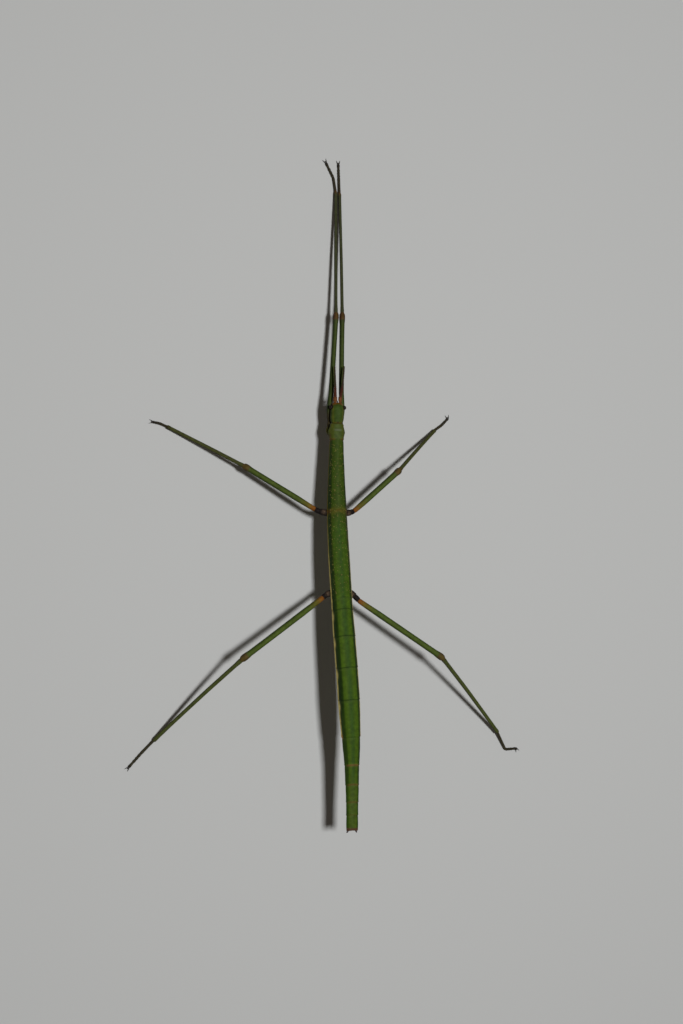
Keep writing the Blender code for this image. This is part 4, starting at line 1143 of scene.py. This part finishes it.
# %% Tail plate and cerci
low, high = (np.array(corner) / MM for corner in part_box("operculum"))
PLATE_RINGS, PLATE_AROUND = 90, 48
PLATE_GREEN = (0.050, 0.075, 0.016)
share = np.linspace(0.0, 1.0, PLATE_RINGS)
steps = 0.3 + share * (high[1] - low[1] - 0.6)
reach = blur(cuts(triangles_of("operculum"), np.array((0.0, high[1], 0.0)), BODY_WAYS, steps), 4)
line_points = np.stack((reach[:, :2].mean(axis=1), high[1] - steps, reach[:, 3]), axis=1)
line_points[:, 2] += 0.45 * step(0.75, 0.3, share) - 0.1
front = step(0.18, 0.0, share)
line_points += front[:, None] * (1.5 * AHEAD + 0.25 * UP)
narrow = np.sqrt(np.clip(share / 0.04, 0.05, 1.0))
half = 0.5 * (reach[:, 1] - reach[:, 0]) * narrow
depth = (line_points[:, 2] - reach[:, 2]) * (1.0 - 0.5 * front) * narrow
depth = depth * np.sqrt(np.clip((1.0 - share) / 0.05, 0.15, 1.0))
angle = 2.0 * np.pi * (np.arange(PLATE_AROUND) + 0.5) / PLATE_AROUND
degrees = np.degrees(angle)
keel = 0.09 * bell(degrees - 270.0, 9.0) * window(0.05, 0.97, 0.1, share)[:, None]
edge = 0.05 * (bell(degrees - 200.0, 8.0) + bell(degrees - 340.0, 8.0))
x = np.cos(angle) * (half[:, None] + edge)
z = np.where(np.sin(angle) < 0.0, np.sin(angle) * depth[:, None], 0.08 * np.sin(angle)) - keel
rings = line_points[:, None] + x[..., None] * RIGHT + z[..., None] * UP
layers = [(OCHRE, 0.5 * bell(degrees - 270.0, 14.0)), (RUST, 0.7 * step(0.85, 1.0, share)[:, None])]
part = tube_part(line_points, rings, painted(PLATE_GREEN, rings.shape[:2], layers))
make_piece("tail_plate", [part], skin_horn, ["operculum"])


CERCUS_THICK, CERCUS_THIN = 0.42, 0.26
CERCUS_BROWN = np.array((0.080, 0.062, 0.064))


def make_cercus(side, sign):
    """One cercus: a blunt cone that bows upwards a little."""
    points = triangles_of("cercus_" + side).reshape(-1, 3)
    ahead_end = points[points[:, 1] > points[:, 1].max() - 0.2].mean(axis=0)
    hind_end = points[points[:, 1] < points[:, 1].min() + 0.2].mean(axis=0)
    start, end = ahead_end + (-0.3 * sign, 0.7, 0.1), hind_end + (0.12 * sign, 0.45, 0.0)
    line_points, rings = spike(start, end, CERCUS_THICK, CERCUS_THIN, 0.05, 16, 30)
    part = tube_part(line_points, rings, CERCUS_BROWN)
    make_piece("cercus_skin_" + side, [part], feeler_horn, ["cercus_" + side])


for side, sign in SIDES:
    make_cercus(side, sign)

# %% [markdown]
# ## Granules
# The chest is dotted with tiny yellowish grains in loose rows. Each grain is a low dome of a few
# faces. Its place is a point of the body skin, and its base lies just under the surface.

# %% Granules
GRAIN_ROWS = (60.0, 74.0, 88.0, 106.0, 120.0, 44.0, 136.0, 30.0, 150.0)
GRAIN_AROUND = 8
GRAIN_YELLOW = np.array((0.185, 0.160, 0.042))
random = np.random.default_rng(7)
grain_at, grain_turn = [], []
for row in GRAIN_ROWS:
    places = np.arange(shield_end + 1.5, chest_end - 1.0, 1.4)
    grain_at.append(places + random.uniform(-0.9, 0.9, len(places)))
    grain_turn.append(row + random.uniform(-7.0, 7.0, len(places)))
on_ring = np.searchsorted(ring_at[:len(cap) + len(tube), 0], np.concatenate(grain_at))
on_turn = np.searchsorted(turn[0], np.radians(np.concatenate(grain_turn)))
middle, normal = body[on_ring, on_turn], normals[on_ring, on_turn]
size = 0.08 + 0.11 * random.random(len(middle)) ** 2
side_way = unit(np.cross(normal, AHEAD))
long_way = np.cross(side_way, normal)
level = np.repeat((-0.5, 0.1, 0.65), GRAIN_AROUND)
angle = np.tile(2.0 * np.pi * np.arange(GRAIN_AROUND) / GRAIN_AROUND, 3)
radius = np.sqrt(1.0 - level ** 2)
dome = np.stack((radius * np.cos(angle), radius * np.sin(angle), level), axis=1)
dome = np.concatenate((-UP[None], dome, UP[None]))
frames = np.stack((side_way, 1.25 * long_way, 0.55 * normal), axis=1)
grains = middle[:, None] + np.einsum("pk,nkj->npj", dome, frames) * size[:, None, None]
quads, fans = tube_faces(3, GRAIN_AROUND)
shift = (np.arange(len(grains)) * len(dome))[:, None, None]
part = grains.reshape(-1, 3), (quads + shift).reshape(-1, 4), (fans + shift).reshape(-1, 3), GRAIN_YELLOW
make_piece("granules", [part], skin_horn)
print("granules:", len(grains))

# %% [markdown]
# ## Floor, light and camera
# The insect stands on a plain pale floor, and the camera looks straight down on it, leaning
# fourteen degrees to the insect's left. A large soft light hangs nearly above, a little to the right,
# so the shadow falls on the left and shows how high the body is carried. A weak light from the
# left and a dim warm sky keep the dark side readable.

# %% Studio
TILT, DISTANCE, LENS_MM, SENSOR_MM = 14.0, 600.0, 60.44, 36.0
AIM_RIGHT, AIM_AHEAD, AIM_HEIGHT = 2.2, 0.1, 15.0
FLOOR_HALF, FLOOR_ROUGHNESS = 1.2, 0.85
FLOOR_GREY, SKY_COLOUR, SKY_STRENGTH = (0.60, 0.60, 0.585, 1.0), (0.90, 0.80, 0.70, 1.0), 0.06


def put(thing, level, upward, back, place):
    """Turns a camera or light so that it looks against the back way, and moves it to its place in mm."""
    matrix = np.eye(4)
    matrix[:3, :3] = np.stack((level, upward, back), axis=1)
    matrix[:3, 3] = np.array(place) * MM
    thing.matrix_world = matrix.T.tolist()
    bpy.context.scene.collection.objects.link(thing)


aim_x = np.interp(mid_end, behind, line[:, 0]) + AIM_RIGHT
target = np.array((aim_x, front_y - mid_end + AIM_AHEAD, AIM_HEIGHT))
lean = np.radians(TILT)
back = np.array((-np.sin(lean), 0.0, np.cos(lean)))
camera_right = np.array((np.cos(lean), 0.0, np.sin(lean)))
camera = bpy.data.objects.new("camera", bpy.data.cameras.new("camera"))
camera.data.sensor_fit = "VERTICAL"
camera.data.sensor_height = SENSOR_MM
camera.data.lens = LENS_MM
camera.data.clip_start = 0.01
put(camera, camera_right, AHEAD, back, target + DISTANCE * back)
bpy.context.scene.camera = camera


def area_light(name, place, size, power, colour):
    """A square area light at a place in mm, aimed at the middle of the floor."""
    light = bpy.data.objects.new(name, bpy.data.lights.new(name, "AREA"))
    light.data.size = size * MM
    light.data.energy = power
    light.data.color = colour
    towards = unit(np.array(place))
    level = unit(np.cross(np.array((0.0, 1.0, 0.001)), towards))
    put(light, level, np.cross(towards, level), towards, place)


area_light("key_light", (66.0, 20.0, 1000.0), 90.0, 6.9, (0.985, 1.0, 1.015))
area_light("fill_light", (-500.0, 250.0, 700.0), 500.0, 0.12, (1.0, 0.88, 0.75))
world = bpy.data.worlds.new("studio")
world.use_nodes = True
sky = world.node_tree.nodes["Background"]
sky.inputs["Color"].default_value = SKY_COLOUR
sky.inputs["Strength"].default_value = SKY_STRENGTH
bpy.context.scene.world = world
bpy.context.scene.view_settings.view_transform = "Standard"

floor_material = bpy.data.materials.new("pale_floor")
floor_material.use_nodes = True
floor_shader = floor_material.node_tree.nodes["Principled BSDF"]
floor_shader.inputs["Base Color"].default_value = FLOOR_GREY
floor_shader.inputs["Roughness"].default_value = FLOOR_ROUGHNESS
floor_mesh = bpy.data.meshes.new("floor")
corners = [(x * FLOOR_HALF, y * FLOOR_HALF, 0.0) for x, y in ((-1, -1), (1, -1), (1, 1), (-1, 1))]
floor_mesh.from_pydata(corners, [], [(0, 1, 2, 3)])
floor_mesh.materials.append(floor_material)
floor = bpy.data.objects.new("floor", floor_mesh)
bpy.context.scene.collection.objects.link(floor)
print("camera at", np.round(target + DISTANCE * back, 1), "mm")
